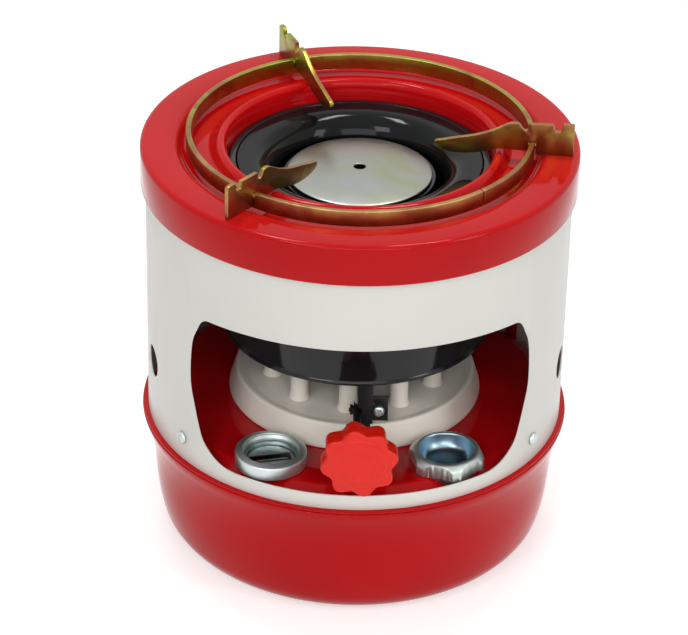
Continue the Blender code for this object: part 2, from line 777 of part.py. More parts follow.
def burner_plate():
    rim = BURNER_PLATE_RIM
    side = [
        (0, BURNER_DISH_LEVEL),
        (BURNER_DISH_RADIUS, BURNER_DISH_LEVEL),
        (rim - BURNER_DISH_DEPTH, BURNER_PLATE_LEVEL),
        (rim, BURNER_PLATE_LEVEL - BURNER_DISH_DEPTH / 2),
        (BURNER_PLATE_FOOT, FITTING_SEAT + BURNER_PLATE_SHEET),
        (BURNER_PLATE_FOOT, FITTING_SEAT),
    ]
    name = "burner_plate"
    item = turned(name, sheet(side, BURNER_PLATE_SHEET), cream_enamel(name), MIDDLE_STEPS)
    low = BURNER_DISH_LEVEL - BURNER_PLATE_SHEET
    side_here = GUIDE_SIDE + LUG_CLEARANCE
    lug_low = (side_here, -LUG_FRONT, low + BURNER_PLATE_SHEET / 2)
    lug_high = (side_here + LUG_WIDTH, -LUG_FRONT + LUG_THICKNESS, SHAFT_LEVEL + LUG_TIP_HEIGHT)
    join(item, box("guide_lug", lug_low, lug_high))
    for index, angle in wick_places():
        place_here = polar(WICK_CIRCLE_RADIUS, angle)
        hole = f"tube_hole_{index}"
        bore_down(item, hole, TUBE_RADIUS + GAP, place_here, low - OVERRUN, low + 2 * OVERRUN, TUBE_STEPS)
    slot_low = (RACK_PITCH_LINE - GEAR_TIP - GAP, -GEAR_FRONT - GAP, low - OVERRUN)
    slot_high = (RACK_SIDE + GAP, -GEAR_BACK + GAP, low + 2 * OVERRUN)
    cut(item, box("rack_slot", slot_low, slot_high))
    start = (GUIDE_SCREW_SIDE, -LUG_FRONT - OVERRUN, GUIDE_SCREW_LEVEL)
    end = (GUIDE_SCREW_SIDE, -LUG_FRONT + OVERRUN, GUIDE_SCREW_LEVEL)
    cut(item, rod("lug_hole", SCREW_RADIUS + GAP, start, end, steps=TUBE_STEPS))
    return item


TUBE_FLARE_SHARE = 0.3


def wick_tubes():
    seat = BURNER_DISH_LEVEL + GAP
    flare = TUBE_FOOT_RADIUS - TUBE_RADIUS
    outline = [
        (TUBE_BORE, TUBE_TOP),
        (TUBE_NECK_RADIUS, TUBE_TOP),
        (TUBE_NECK_RADIUS, TUBE_SHOULDER),
        (TUBE_RADIUS, TUBE_SHOULDER),
        (TUBE_RADIUS, seat + TUBE_FOOT_HEIGHT),
        (TUBE_RADIUS + flare * TUBE_FLARE_SHARE, seat + TUBE_FOOT_HEIGHT * TUBE_FLARE_SHARE),
        (TUBE_FOOT_RADIUS, seat),
        (TUBE_RADIUS, seat),
        (TUBE_RADIUS, TUBE_LOW),
        (TUBE_BORE, TUBE_LOW),
    ]
    for index, angle in wick_places():
        name = f"wick_tube_{index}"
        item = turned(name, outline, cream_enamel(name), TUBE_STEPS)
        item.location = polar(WICK_CIRCLE_RADIUS, angle)


def wicks():
    for index, angle in wick_places():
        name = f"wick_{index}"
        start = polar(WICK_CIRCLE_RADIUS, angle, WICK_FOOT_HEIGHT)
        end = polar(WICK_CIRCLE_RADIUS, angle, WICK_TOP)
        rod(name, TUBE_BORE - GAP, start, end, wick_cotton(name), TUBE_STEPS)


def wick_gallery():
    side = [
        (INNER_SLEEVE_RADIUS - INNER_RIM_WIDTH / 2, GALLERY_LEVEL),
        (OUTER_SLEEVE_RADIUS + INNER_RIM_WIDTH / 2, GALLERY_LEVEL),
    ]
    name = "wick_gallery"
    item = turned(name, sheet(side, THIN_SHEET), black_enamel(name), SMALL_STEPS)
    low = GALLERY_LEVEL - OVERRUN
    high = GALLERY_LEVEL + OVERRUN
    for index, angle in wick_places():
        hole = f"gallery_hole_{index}"
        place_here = polar(WICK_CIRCLE_RADIUS, angle)
        bore_down(item, hole, TUBE_NECK_RADIUS + GAP, place_here, low, high, TUBE_STEPS)
    return item


# Wick carrier, rack, pinion and guide


def wick_carrier():
    low = CARRIER_LEVEL
    high = CARRIER_LEVEL + CARRIER_THICKNESS
    inner = WICK_CIRCLE_RADIUS - CARRIER_RIM_WIDTH
    outer = WICK_CIRCLE_RADIUS + CARRIER_RIM_WIDTH
    outline = [(inner, high), (outer, high), (outer, low), (inner, low)]
    name = "wick_carrier"
    item = turned(name, outline, zinc_plate(name), SMALL_STEPS)
    left = RACK_PITCH_LINE - GEAR_MODULE - CARRIER_THICKNESS
    right = RACK_SIDE + CARRIER_THICKNESS
    tab_low = (left, -GEAR_FRONT - CARRIER_THICKNESS, low)
    tab_high = (right, -outer + CARRIER_THICKNESS, high)
    join(item, box("carrier_tab", tab_low, tab_high))
    slot_low = (RACK_PITCH_LINE + GEAR_ROOT - GAP, -GEAR_FRONT - GAP, low - OVERRUN)
    slot_high = (RACK_SIDE + GAP, -GEAR_BACK + GAP, high + OVERRUN)
    cut(item, box("carrier_slot", slot_low, slot_high))
    for index, angle in wick_places():
        hole = f"carrier_hole_{index}"
        place_here = polar(WICK_CIRCLE_RADIUS, angle)
        bore_down(item, hole, TUBE_BORE, place_here, low - OVERRUN, high + OVERRUN, TUBE_STEPS)
    return item


TOOTH_TIP_SHARE = 0.14
TOOTH_ROOT_SHARE = 0.36


def rack_outline():
    back = RACK_SIDE
    face = RACK_PITCH_LINE + GEAR_ROOT
    tip = RACK_PITCH_LINE - GEAR_TIP
    points = [(back, RACK_TOP), (face, RACK_TOP)]
    first = math.ceil(-RACK_TEETH_DEPTH / GEAR_PITCH)
    last = math.floor(RACK_TOP_HEIGHT / GEAR_PITCH)
    for index in range(last - 1, first - 1, -1):
        middle = SHAFT_LEVEL + GEAR_PITCH * (index + 0.5)
        root = GEAR_PITCH * TOOTH_ROOT_SHARE
        crest = GEAR_PITCH * TOOTH_TIP_SHARE
        points += [(face, middle + root), (tip, middle + crest)]
        points += [(tip, middle - crest), (face, middle - root)]
    low = CARRIER_LEVEL - GAP
    foot_left = face - RACK_FOOT_DROP / 2
    foot_right = back + RACK_FOOT_DROP / 2
    points += [(face, low), (foot_left, low), (foot_left, low - RACK_FOOT_DROP)]
    points += [(foot_right, low - RACK_FOOT_DROP), (foot_right, low), (back, low)]
    return points


def lift_rack():
    name = "lift_rack"
    item = prism(name, rack_outline(), GEAR_WIDTH, zinc_plate(name))
    item.rotation_euler.x = -FRONT
    item.location.y = -(GEAR_FRONT + GEAR_BACK) / 2
    return item


PINION_ROOT_SHARE = 0.3
PINION_TIP_SHARE = 0.12


def pinion_outline():
    points = []
    wide = PINION_ROOT_SHARE
    narrow = PINION_TIP_SHARE
    tip = PINION_PITCH_RADIUS + GEAR_TIP
    root = PINION_PITCH_RADIUS - GEAR_ROOT
    tooth = math.tau / PINION_TEETH
    for index in range(PINION_TEETH):
        middle = tooth * index
        for radius, share in ((root, -wide), (tip, -narrow), (tip, narrow), (root, wide)):
            angle = middle + tooth * share
            points.append((radius * math.cos(angle), radius * math.sin(angle)))
    return points


def pinion():
    name = "pinion"
    item = prism(name, pinion_outline(), GEAR_WIDTH, zinc_plate(name))
    item.rotation_euler.x = -FRONT
    item.location = (SHAFT_SIDE, -(GEAR_FRONT + GEAR_BACK) / 2, SHAFT_LEVEL)
    start = (SHAFT_SIDE, -GEAR_FRONT - OVERRUN, SHAFT_LEVEL)
    end = (SHAFT_SIDE, -GEAR_BACK + OVERRUN, SHAFT_LEVEL)
    cut(item, rod("pinion_bore", SHAFT_RADIUS + GAP, start, end, steps=TUBE_STEPS))
    return item


GUIDE_TIP_DEPTH = 0.002
GUIDE_FLANGE_WIDTH = 0.00926
GUIDE_FLANGE_HEIGHT = 0.0084
GUIDE_HOLE_RADIUS = 0.0012
GUIDE_HOLE_WIDTH = 0.00146
GUIDE_HOLE_HEIGHT = 0.0038
GUIDE_SCREW_HEAD_RADIUS = 0.0034


def rack_guide():
    front = -GUIDE_FRONT
    inside = front + SHEET
    wall = GUIDE_SIDE - SHEET
    left = GUIDE_SIDE - GUIDE_WEB_WIDTH
    flange_side = GUIDE_SIDE + GUIDE_FLANGE_WIDTH
    back = -LUG_FRONT - GAP
    plan = [
        (left, front),
        (GUIDE_SIDE, front),
        (GUIDE_SIDE, back - SHEET),
        (flange_side, back - SHEET),
        (flange_side, back),
        (wall, back),
        (wall, inside),
        (left, inside),
    ]
    low = BURNER_PLATE_LEVEL + GAP
    high = GALLERY_LEVEL - GUIDE_TIP_DEPTH
    name = "rack_guide"
    item = prism(name, plan, high - low, black_enamel(name))
    item.location.z = (high + low) / 2
    flange_low = (GUIDE_SIDE, front - OVERRUN, SHAFT_LEVEL + GUIDE_FLANGE_HEIGHT)
    flange_high = (flange_side + OVERRUN, back + OVERRUN, high + OVERRUN)
    cut(item, box("flange_relief", flange_low, flange_high))
    start = (SHAFT_SIDE, front - OVERRUN, SHAFT_LEVEL)
    end = (SHAFT_SIDE, inside + OVERRUN / 2, SHAFT_LEVEL)
    cut(item, rod("guide_shaft_notch", SHAFT_RADIUS + GUIDE_CLEARANCE, start, end, steps=BORE_STEPS))
    spare_side = GUIDE_SIDE + GUIDE_HOLE_WIDTH
    spare_level = SHAFT_LEVEL + GUIDE_HOLE_HEIGHT
    for tag, radius, side, level in (
        ("guide_screw_hole", SCREW_RADIUS + GAP, GUIDE_SCREW_SIDE, GUIDE_SCREW_LEVEL),
        ("guide_spare_hole", GUIDE_HOLE_RADIUS, spare_side, spare_level),
    ):
        start = (side, front, level)
        end = (side, back + OVERRUN, level)
        cut(item, rod(tag, radius, start, end, steps=TUBE_STEPS))
    return item


def guide_screw():
    name = "guide_screw"
    length = SHEET + GAP + LUG_THICKNESS + GAP
    outline = pan_screw_outline(GUIDE_SCREW_HEAD_RADIUS, length)
    item = turned(name, outline, zinc_plate(name), TUBE_STEPS)
    item.rotation_euler.x = -FRONT
    item.location = (GUIDE_SCREW_SIDE, -LUG_FRONT - GAP - SHEET - GAP, GUIDE_SCREW_LEVEL)
    return item


# Knob, shaft and shaft support


def knob_outline():
    points = []
    per_lobe = 6
    count = KNOB_LOBES * per_lobe
    for index in range(count):
        angle = math.tau * index / count
        swell = abs(math.cos(angle * KNOB_LOBES / 2))
        radius = KNOB_RADIUS - KNOB_LOBE_DEPTH * (1 - swell)
        points.append((radius * math.cos(angle), radius * math.sin(angle)))
    return points


def knob():
    name = "knob"
    item = prism(name, knob_outline(), KNOB_THICKNESS, knob_plastic(name), KNOB_EDGE)
    item.rotation_euler = (-FRONT, -KNOB_PHASE, 0)
    item.location = (SHAFT_SIDE, -KNOB_FRONT + KNOB_THICKNESS / 2, SHAFT_LEVEL)
    back = -KNOB_FRONT + KNOB_THICKNESS
    start = (SHAFT_SIDE, back - KNOB_BORE_DEPTH, SHAFT_LEVEL)
    end = (SHAFT_SIDE, back + OVERRUN, SHAFT_LEVEL)
    cut(item, rod("knob_bore", SHAFT_RADIUS + GAP, start, end, steps=BORE_STEPS))
    return item


def control_shaft():
    front = -KNOB_FRONT + KNOB_THICKNESS - KNOB_BORE_DEPTH + GAP
    start = (SHAFT_SIDE, front, SHAFT_LEVEL)
    end = (SHAFT_SIDE, -GEAR_BACK + SHEET, SHAFT_LEVEL)
    return rod("control_shaft", SHAFT_RADIUS, start, end, zinc_plate("control_shaft"), TUBE_STEPS)


SUPPORT_SETBACK = 0.007
SUPPORT_THICKNESS = 0.002
SUPPORT_WIDTH = 0.014
SUPPORT_FOOT = 0.012
SUPPORT_EAR = 0.007


def shaft_support():
    name = "shaft_support"
    low = FITTING_SEAT
    back = -(FITTING_CIRCLE_RADIUS - SUPPORT_SETBACK)
    plan = [
        (back, low),
        (back, SHAFT_LEVEL + SUPPORT_EAR),
        (back - SUPPORT_THICKNESS, SHAFT_LEVEL + SUPPORT_EAR),
        (back - SUPPORT_THICKNESS, low + SUPPORT_THICKNESS),
        (back - SUPPORT_FOOT, low + SUPPORT_THICKNESS),
        (back - SUPPORT_FOOT, low),
    ]
    item = prism(name, plan, SUPPORT_WIDTH, zinc_plate(name))
    item.rotation_euler = (-FRONT, 0, -FRONT)
    item.location.x = SHAFT_SIDE
    start = (SHAFT_SIDE, back - SUPPORT_THICKNESS - OVERRUN, SHAFT_LEVEL)
    end = (SHAFT_SIDE, back + OVERRUN, SHAFT_LEVEL)
    cut(item, rod("support_bore", SHAFT_RADIUS + GAP, start, end, steps=BORE_STEPS))
    return item


# Filler neck, gasket and cap

NECK_DEPTH = 0.0135


def filler_neck():
    # Its bead rests on the tank top and stays clear of the flutes of the cap.
    inner = FILLER_NECK_RADIUS - SHEET
    low = PLATEAU_LEVEL - NECK_DEPTH
    high = FITTING_SEAT + FILLER_NECK_HEIGHT
    bead = FILLER_CAP_RADIUS - FILLER_SCALLOP_DEPTH - THIN_SHEET - GAP
    outline = [
        (inner, high),
        (FILLER_NECK_RADIUS, high),
        (FILLER_NECK_RADIUS, FITTING_SEAT + FITTING_FLANGE),
        (bead, FITTING_SEAT + FITTING_FLANGE),
        (bead, FITTING_SEAT),
        (FILLER_NECK_RADIUS, FITTING_SEAT),
        (FILLER_NECK_RADIUS, low),
        (inner, low),
    ]
    item = turned("filler_neck", outline, zinc_plate("filler_neck"), SMALL_STEPS)
    item.location = FILLER_PLACE
    return item


def filler_gasket():
    low = FITTING_SEAT + FILLER_NECK_HEIGHT + GAP
    high = FITTING_SEAT + FILLER_CAP_HEIGHT - THIN_SHEET
    inner = FILLER_NECK_RADIUS - SHEET
    outline = [(inner, high), (FILLER_NECK_RADIUS, high), (FILLER_NECK_RADIUS, low), (inner, low)]
    item = turned("filler_gasket", outline, oil_rubber("filler_gasket"), SMALL_STEPS)
    item.location = FILLER_PLACE
    return item


CAP_STEPS = 48


def flute_depth(corner, low, high):
    # How far a point of the cap's skirt is pressed in: the flutes stand upright and run out near the top.
    down = (high - corner.z) / (high - low)
    cone = FILLER_CAP_RADIUS - FILLER_SHOULDER_WIDTH * (1 - down)
    angle = math.atan2(corner.y, corner.x) - FILLER_SCALLOP_PHASE
    swell = abs(math.cos(angle * FILLER_SCALLOPS / 2))
    flute = FILLER_CAP_RADIUS - FILLER_SCALLOP_DEPTH * (1 - swell)
    return max(0, cone - flute)


def filler_cap():
    low = FITTING_SEAT + GAP
    high = low + FILLER_CAP_HEIGHT
    crown = FILLER_CAP_RADIUS - FILLER_SHOULDER_WIDTH
    side = [
        (0, low),
        (FILLER_RECESS_FLOOR_RADIUS, low),
        (FILLER_RECESS_RADIUS - THIN_SHEET, high - THIN_SHEET),
        (FILLER_RECESS_RADIUS, high),
        (crown, high),
        (crown + FILLER_SHOULDER_WIDTH / 2, (low + high) / 2),
        (FILLER_CAP_RADIUS, low),
    ]
    mesh = baked_turned("filler_cap", sheet(side, THIN_SHEET), CAP_STEPS)
    for corner in mesh.vertices:
        radius = math.hypot(corner.co.x, corner.co.y)
        if radius > FILLER_RECESS_RADIUS:
            share = 1 - flute_depth(corner.co, low, high) / radius
            corner.co.x *= share
            corner.co.y *= share
    item = place("filler_cap", mesh, zinc_plate("filler_cap"))
    item.location = FILLER_PLACE
    return item


# Fuel gauge

GAUGE_CUP_HEIGHT = 0.0032
GAUGE_CUP_FLANGE_INSET = 0.0013
GAUGE_CUP_DEPTH = 0.0125
GAUGE_EAR_CLEARANCE = 0.001
GAUGE_DIAL_DEPTH = 0.004
GAUGE_SHOULDER = 0.0012
GLASS_THICKNESS = 0.0015
BARREL_RADIUS = 0.0034
BARREL_END_CLEARANCE = 0.0064
DIAL_WINDOW_WIDTH = 0.006
SPINDLE_RADIUS = 0.001
BARREL_LENGTH = 2 * (GAUGE_BORE_RADIUS - BARREL_END_CLEARANCE)


def gauge_cup():
    outer = GAUGE_BORE_RADIUS - GAP
    inner = outer - GAUGE_CUP_WALL
    narrow = inner - GAUGE_SHOULDER
    flange = GAUGE_BEZEL_RADIUS - GAUGE_CUP_FLANGE_INSET
    shelf = PLATEAU_LEVEL - GAUGE_DIAL_DEPTH - GAP
    top = FITTING_SEAT + GAUGE_CUP_HEIGHT
    low = PLATEAU_LEVEL - GAUGE_CUP_DEPTH
    outline = [
        (inner, top),
        (outer, top),
        (outer, FITTING_SEAT + FITTING_FLANGE),
        (flange, FITTING_SEAT + FITTING_FLANGE),
        (flange, FITTING_SEAT),
        (outer, FITTING_SEAT),
        (outer, low),
        (narrow, low),
        (narrow, shelf),
        (inner, shelf),
    ]
    item = turned("gauge_cup", outline, zinc_plate("gauge_cup"), SMALL_STEPS)
    item.location = GAUGE_PLACE
    reach = outer + OVERRUN
    ear = BARREL_LENGTH / 2 + GAUGE_EAR_CLEARANCE
    cutter = box("ear_relief", (-ear, -reach, low - OVERRUN), (ear, reach, shelf - GAUGE_SHOULDER))
    cutter.location = GAUGE_PLACE
    cutter.rotation_euler.z = GAUGE_SPINDLE_ANGLE
    cut(item, cutter)
    start = (-reach, 0, GAUGE_SPINDLE_LEVEL)
    end = (reach, 0, GAUGE_SPINDLE_LEVEL)
    spindle_hole = rod("spindle_hole", SPINDLE_RADIUS + GAP, start, end, steps=TUBE_STEPS)
    spindle_hole.location = GAUGE_PLACE
    spindle_hole.rotation_euler.z = GAUGE_SPINDLE_ANGLE
    cut(item, spindle_hole)
    return item


def gauge_glass():
    low = FITTING_SEAT + GAUGE_CUP_HEIGHT + GAP
    high = low + GLASS_THICKNESS
    radius = GAUGE_BORE_RADIUS - GAP
    outline = [(0, high), (radius, high), (radius, low), (0, low)]
    item = turned("gauge_glass", outline, clear_glass("gauge_glass"), SMALL_STEPS)
    item.location = GAUGE_PLACE
    return item


def gauge_dial():
    low = PLATEAU_LEVEL - GAUGE_DIAL_DEPTH
    high = low + THIN_SHEET
    radius = GAUGE_BORE_RADIUS - GAP - GAUGE_CUP_WALL - GAP
    outline = [(0, high), (radius, high), (radius, low), (0, low)]
    item = turned("gauge_dial", outline, zinc_plate("gauge_dial"), SMALL_STEPS)
    item.location = GAUGE_PLACE
    half_length = BARREL_LENGTH / 2
    half_width = DIAL_WINDOW_WIDTH / 2
    window_low = (-half_length, -half_width, low - OVERRUN)
    window_high = (half_length, half_width, high + OVERRUN)
    window = box("dial_window", window_low, window_high)
    window.location = GAUGE_PLACE
    window.rotation_euler.z = GAUGE_SPINDLE_ANGLE
    cut(item, window)
    return item


BEZEL_COUNTERBORE_HEIGHT = 0.0012
BEZEL_CHAMFER = 0.0012
BEZEL_THREAD_DEPTH = 0.0005
BEZEL_THREAD_SHARES = (0.62, 0.72, 0.82)


def gauge_bezel():
    low = FITTING_SEAT + GAP
    high = low + GAUGE_BEZEL_HEIGHT
    bore = GAUGE_BORE_RADIUS
    counterbore = GAUGE_BEZEL_RADIUS - SHEET
    outline = [
        (bore + BEZEL_CHAMFER, high),
        (GAUGE_BEZEL_RADIUS - BEZEL_THREAD_DEPTH, high),
        (GAUGE_BEZEL_RADIUS, high - BEZEL_THREAD_DEPTH),
        (GAUGE_BEZEL_RADIUS, low),
        (counterbore, low),
        (counterbore, low + BEZEL_COUNTERBORE_HEIGHT),
        (bore, low + BEZEL_COUNTERBORE_HEIGHT),
    ]
    for index, share in enumerate(BEZEL_THREAD_SHARES):
        depth = BEZEL_THREAD_DEPTH if index % 2 else 0
        outline.append((bore + depth, low + GAUGE_BEZEL_HEIGHT * share))
    outline.append((bore, high - BEZEL_CHAMFER))
    item = turned("gauge_bezel", outline, zinc_plate("gauge_bezel"), SMALL_STEPS)
    item.location = GAUGE_PLACE
    return item


def gauge_axis():
    item = bpy.data.objects.new("gauge_axis", None)
    CUTTERS.objects.link(item)
    item.location = (GAUGE_PLACE[0], GAUGE_PLACE[1], GAUGE_SPINDLE_LEVEL)
    item.rotation_euler.z = GAUGE_SPINDLE_ANGLE
    return item


def float_gauge():
    # The wire bends down beside the cup, then back through the float.
    axis = gauge_axis()
    reach = GAUGE_BORE_RADIUS + 2 * SPINDLE_RADIUS - GAP
    along = FLOAT_ARM * math.cos(FLOAT_REST_ANGLE)
    down = -FLOAT_ARM * math.sin(FLOAT_REST_ANGLE)
    stub = GAUGE_BORE_RADIUS - GAUGE_CUP_WALL / 2
    float_far = -reach + SPINDLE_RADIUS + GAP * 2 + FLOAT_LENGTH
    wire_end = float_far - FLOAT_LENGTH / 3
    points = [(stub, 0, 0), (-reach, 0, 0), (-reach, along, down), (wire_end, along, down)]
    bent = wire("float_wire", points, SPINDLE_RADIUS, zinc_plate("float_wire"))
    float_near = float_far - FLOAT_LENGTH
    near_end = (float_near, along, down)
    far_end = (float_far, along, down)
    body = rod("float", FLOAT_RADIUS, near_end, far_end, wick_cotton("float"))
    bore_start = (float_near - OVERRUN, along, down)
    bore_end = (float_far + OVERRUN, along, down)
    cut(body, bore_tool("float_bore", bore_start, bore_end, axis))
    half = BARREL_LENGTH / 2
    name = "gauge_barrel"
    barrel = rod(name, BARREL_RADIUS, (-half, 0, 0), (half, 0, 0), black_enamel(name), TUBE_STEPS)
    reach_out = half + OVERRUN
    cut(barrel, bore_tool("barrel_bore", (-reach_out, 0, 0), (reach_out, 0, 0), axis))
    for item in (bent, body, barrel):
        item.parent = axis


def bore_tool(name, start, end, parent):
    tool = rod(name, SPINDLE_RADIUS + GAP, start, end, steps=TUBE_STEPS)
    tool.parent = parent
    return tool


# Pot stand


def stand_ring():
    high = STAND_RING_LOW + STAND_RING_HEIGHT
    side = [(STAND_RING_RADIUS, high), (STAND_RING_RADIUS, STAND_RING_LOW)]
    name = "stand_ring"
    item = turned(name, sheet(side, STAND_RING_THICKNESS), gold_passivate(name), LARGE_STEPS)
    inner = STAND_RING_RADIUS - STAND_RING_THICKNESS - OVERRUN
    outer = STAND_RING_RADIUS + OVERRUN
    low = (inner, -STAND_RING_SEAM / 2, STAND_RING_LOW - OVERRUN)
    top = (outer, STAND_RING_SEAM / 2, high + OVERRUN)
    seam = box("ring_seam", low, top)
    seam.rotation_euler.z = STAND_SEAM_ANGLE
    cut(item, seam)
    return item


ARM_TOP_SHARES = (
    (0.0, 0.14),
    (0.06, 0.22),
    (0.155, 0.32),
    (0.296, 0.45),
    (0.426, 0.65),
    (0.533, 0.9),
    (0.605, 0.91),
    (0.632, 0.74),
    (0.665, 0.71),
    (0.676, 0.92),
    (0.835, 0.95),
    (0.862, 0.74),
    (0.904, 0.74),
    (0.915, 0.97),
    (0.93, 1.0),
    (0.982, 1.0),
    (1.0, 0.9),
)
ARM_BOTTOM_SHARES = ((0.46, 0.06), (0.36, -0.06), (0.22, -0.16), (0.1, -0.13), (0.02, 0.0))
ARM_FOOT_CHAMFER = 0.002
ARM_SLOT_CLEARANCE = 0.0004
ARM_LIFT = 0.0012


def arm_outline():
    seat = PLATE_LEVEL + GAP
    run = STAND_ARM_END_RADIUS - STAND_ARM_TIP_RADIUS
    rise = STAND_ARM_HEIGHT - GAP
    points = [
        (STAND_ARM_TIP_RADIUS + run * across, seat + rise * up)
        for across, up in ARM_TOP_SHARES
    ]
    slot_out = STAND_RING_RADIUS + ARM_SLOT_CLEARANCE
    slot_in = STAND_RING_RADIUS - STAND_RING_THICKNESS - ARM_SLOT_CLEARANCE
    slot_top = STAND_RING_LOW + STAND_RING_HEIGHT + GAP
    heel = seat + ARM_LIFT
    points += [
        (STAND_ARM_END_RADIUS, seat),
        (RIM_INNER_RADIUS, seat),
        (RIM_INNER_RADIUS - ARM_FOOT_CHAMFER, seat - ARM_LIFT),
        (slot_out, seat - ARM_LIFT),
        (slot_out, slot_top),
        (slot_in, slot_top),
        (slot_in, heel),
    ]
    points += [
        (STAND_ARM_TIP_RADIUS + run * across, seat + rise * up)
        for across, up in ARM_BOTTOM_SHARES
    ]
    return points


def stand_arms():
    for index in range(STAND_ARM_COUNT):
        name = f"stand_arm_{index + 1}"
        item = prism(name, arm_outline(), STAND_ARM_THICKNESS, gold_passivate(name))
        angle = STAND_ARM_FIRST_ANGLE + math.tau * index / STAND_ARM_COUNT
        item.rotation_euler = (-FRONT, 0, angle)


def build():
    tank_bowl()
    tank_top()
    shell()
    shell_screws()
    top_plate()
    burner_drum()
    flame_ring()
    sleeves()
    cross_pins()
    flame_spreader()
    burner_plate()
    wick_tubes()
    wicks()
    wick_gallery()
    wick_carrier()
    lift_rack()
    pinion()
    rack_guide()
    guide_screw()
    knob()
    control_shaft()
    shaft_support()
    filler_neck()
    filler_gasket()
    filler_cap()
    gauge_cup()
    gauge_glass()
    gauge_dial()
    gauge_bezel()
    float_gauge()
    stand_ring()
    stand_arms()


build()
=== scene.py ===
import math

import bpy
from mathutils import Matrix, Vector


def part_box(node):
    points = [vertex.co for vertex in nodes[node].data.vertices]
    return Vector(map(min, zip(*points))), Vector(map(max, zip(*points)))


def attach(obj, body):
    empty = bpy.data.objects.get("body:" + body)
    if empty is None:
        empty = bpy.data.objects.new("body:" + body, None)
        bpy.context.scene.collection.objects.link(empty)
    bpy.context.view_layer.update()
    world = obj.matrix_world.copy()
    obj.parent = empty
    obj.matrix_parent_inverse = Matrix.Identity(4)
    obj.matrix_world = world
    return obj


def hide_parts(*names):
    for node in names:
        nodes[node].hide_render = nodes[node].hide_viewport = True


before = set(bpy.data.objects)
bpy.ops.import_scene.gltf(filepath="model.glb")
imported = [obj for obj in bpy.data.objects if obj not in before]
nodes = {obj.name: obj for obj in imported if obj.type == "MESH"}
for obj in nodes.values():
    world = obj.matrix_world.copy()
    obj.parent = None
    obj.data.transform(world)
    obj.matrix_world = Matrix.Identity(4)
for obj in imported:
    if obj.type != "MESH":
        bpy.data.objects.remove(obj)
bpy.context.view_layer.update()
mm = 0.001
flat = ((1, 0, 0), (0, 1, 0))  # across and up of an outline that lies on the ground
pole = 0.001  # mm, a ring this small is welded into one point
bendShare = 0.48  # of each side that meets in a corner, the most that its bend may take
shortBend = 0.02  # mm, a bend smaller than this stays a corner
print("frame loaded:", len(nodes), "nodes")


# Selecting, welding and finishing


def objectMode():
    bpy.ops.object.mode_set(mode="OBJECT")


def selectNone():
    if bpy.context.mode != "OBJECT":
        objectMode()
    bpy.ops.object.select_all(action="DESELECT")


def pick(piece):
    selectNone()
    piece.select_set(True)
    bpy.context.view_layer.objects.active = piece


def drawOut(step):
    # What is selected is extruded by a step in metres.
    bpy.ops.mesh.extrude_region_move(TRANSFORM_OT_translate={"value": step})


def newPiece(name, scale=(1, 1, 1)):
    # The object that was just added gets its name, and its place and scale are applied.
    piece = bpy.context.object
    piece.name = name
    piece.scale = scale
    bpy.ops.object.transform_apply(location=True, rotation=True, scale=True)
    return piece


def editAll(piece):
    pick(piece)
    bpy.ops.object.mode_set(mode="EDIT")
    bpy.ops.mesh.select_mode(type="VERT")
    bpy.ops.mesh.select_all(action="SELECT")


def editOnly(piece, kind, wanted):
    # Only the wanted corners or faces are left selected.
    pick(piece)
    bpy.ops.object.mode_set(mode="EDIT")
    bpy.ops.mesh.select_mode(type=kind)
    bpy.ops.mesh.select_all(action="DESELECT")
    objectMode()
    for item in piece.data.vertices if kind == "VERT" else piece.data.polygons:
        item.select = wanted(item)
    bpy.ops.object.mode_set(mode="EDIT")


def applyPlace(piece, location=(0, 0, 0), turn=(0, 0, 0)):
    # Millimetres and degrees.
    pick(piece)
    piece.location = [value * mm for value in location]
    piece.rotation_euler = [math.radians(value) for value in turn]
    bpy.ops.object.transform_apply(location=True, rotation=True, scale=True)


def weld(piece, reach=0.004):
    editAll(piece)
    bpy.ops.mesh.remove_doubles(threshold=reach * mm)
    bpy.ops.mesh.delete_loose(use_verts=True, use_edges=True, use_faces=False)
    bpy.ops.mesh.select_all(action="SELECT")
    bpy.ops.mesh.normals_make_consistent(inside=False)
    objectMode()


def modify(piece, kind, **values):
    pick(piece)
    modifier = piece.modifiers.new(kind.lower(), kind)
    for name, value in values.items():
        setattr(modifier, name, value)
    bpy.ops.object.modifier_apply(modifier=modifier.name)


def roundEdges(piece, width, segments=2, limit=40):
    angle = math.radians(limit)
    modify(piece, "BEVEL", width=width * mm, segments=segments, limit_method="ANGLE", angle_limit=angle)


def cutAway(piece, *cutters):
    for cutter in cutters:
        modify(piece, "BOOLEAN", object=cutter, operation="DIFFERENCE", solver="EXACT")
        bpy.data.objects.remove(cutter)


def joined(name, *parts):
    pick(parts[0])
    for part in parts:
        part.select_set(True)
    bpy.ops.object.join()
    parts[0].name = name
    return parts[0]


def copyOf(piece, name, location=(0, 0, 0), turn=(0, 0, 0)):
    pick(piece)
    bpy.ops.object.duplicate(linked=False)
    copy = bpy.context.object
    copy.name = name
    applyPlace(copy, location, turn)
    return copy


def finishPiece(piece, body, material, slotName, *replaced, smooth=40):
    pick(piece)
    bpy.ops.object.shade_smooth_by_angle(angle=math.radians(smooth))
    piece.data.materials.clear()
    piece.data.materials.append(material)
    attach(piece, body)
    if replaced:
        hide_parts(*replaced)


# Outlines and turned shapes, all in millimetres


def smoothPath(points, steps=4):
    # A soft curve through every point.
    result = []
    padded = [points[0]] + points + [points[-1]]
    for spots in zip(padded, padded[1:], padded[2:], padded[3:]):
        for step in range(steps):
            t = step / steps
            point = []
            for a, b, c, d in zip(*spots):
                bend = (2 * a - 5 * b + 4 * c - d) * t**2 + (3 * b - a - 3 * c + d) * t**3
                point.append((2 * b + (c - a) * t + bend) / 2)
            result.append(tuple(point))
    result.append(tuple(points[-1]))
    return result


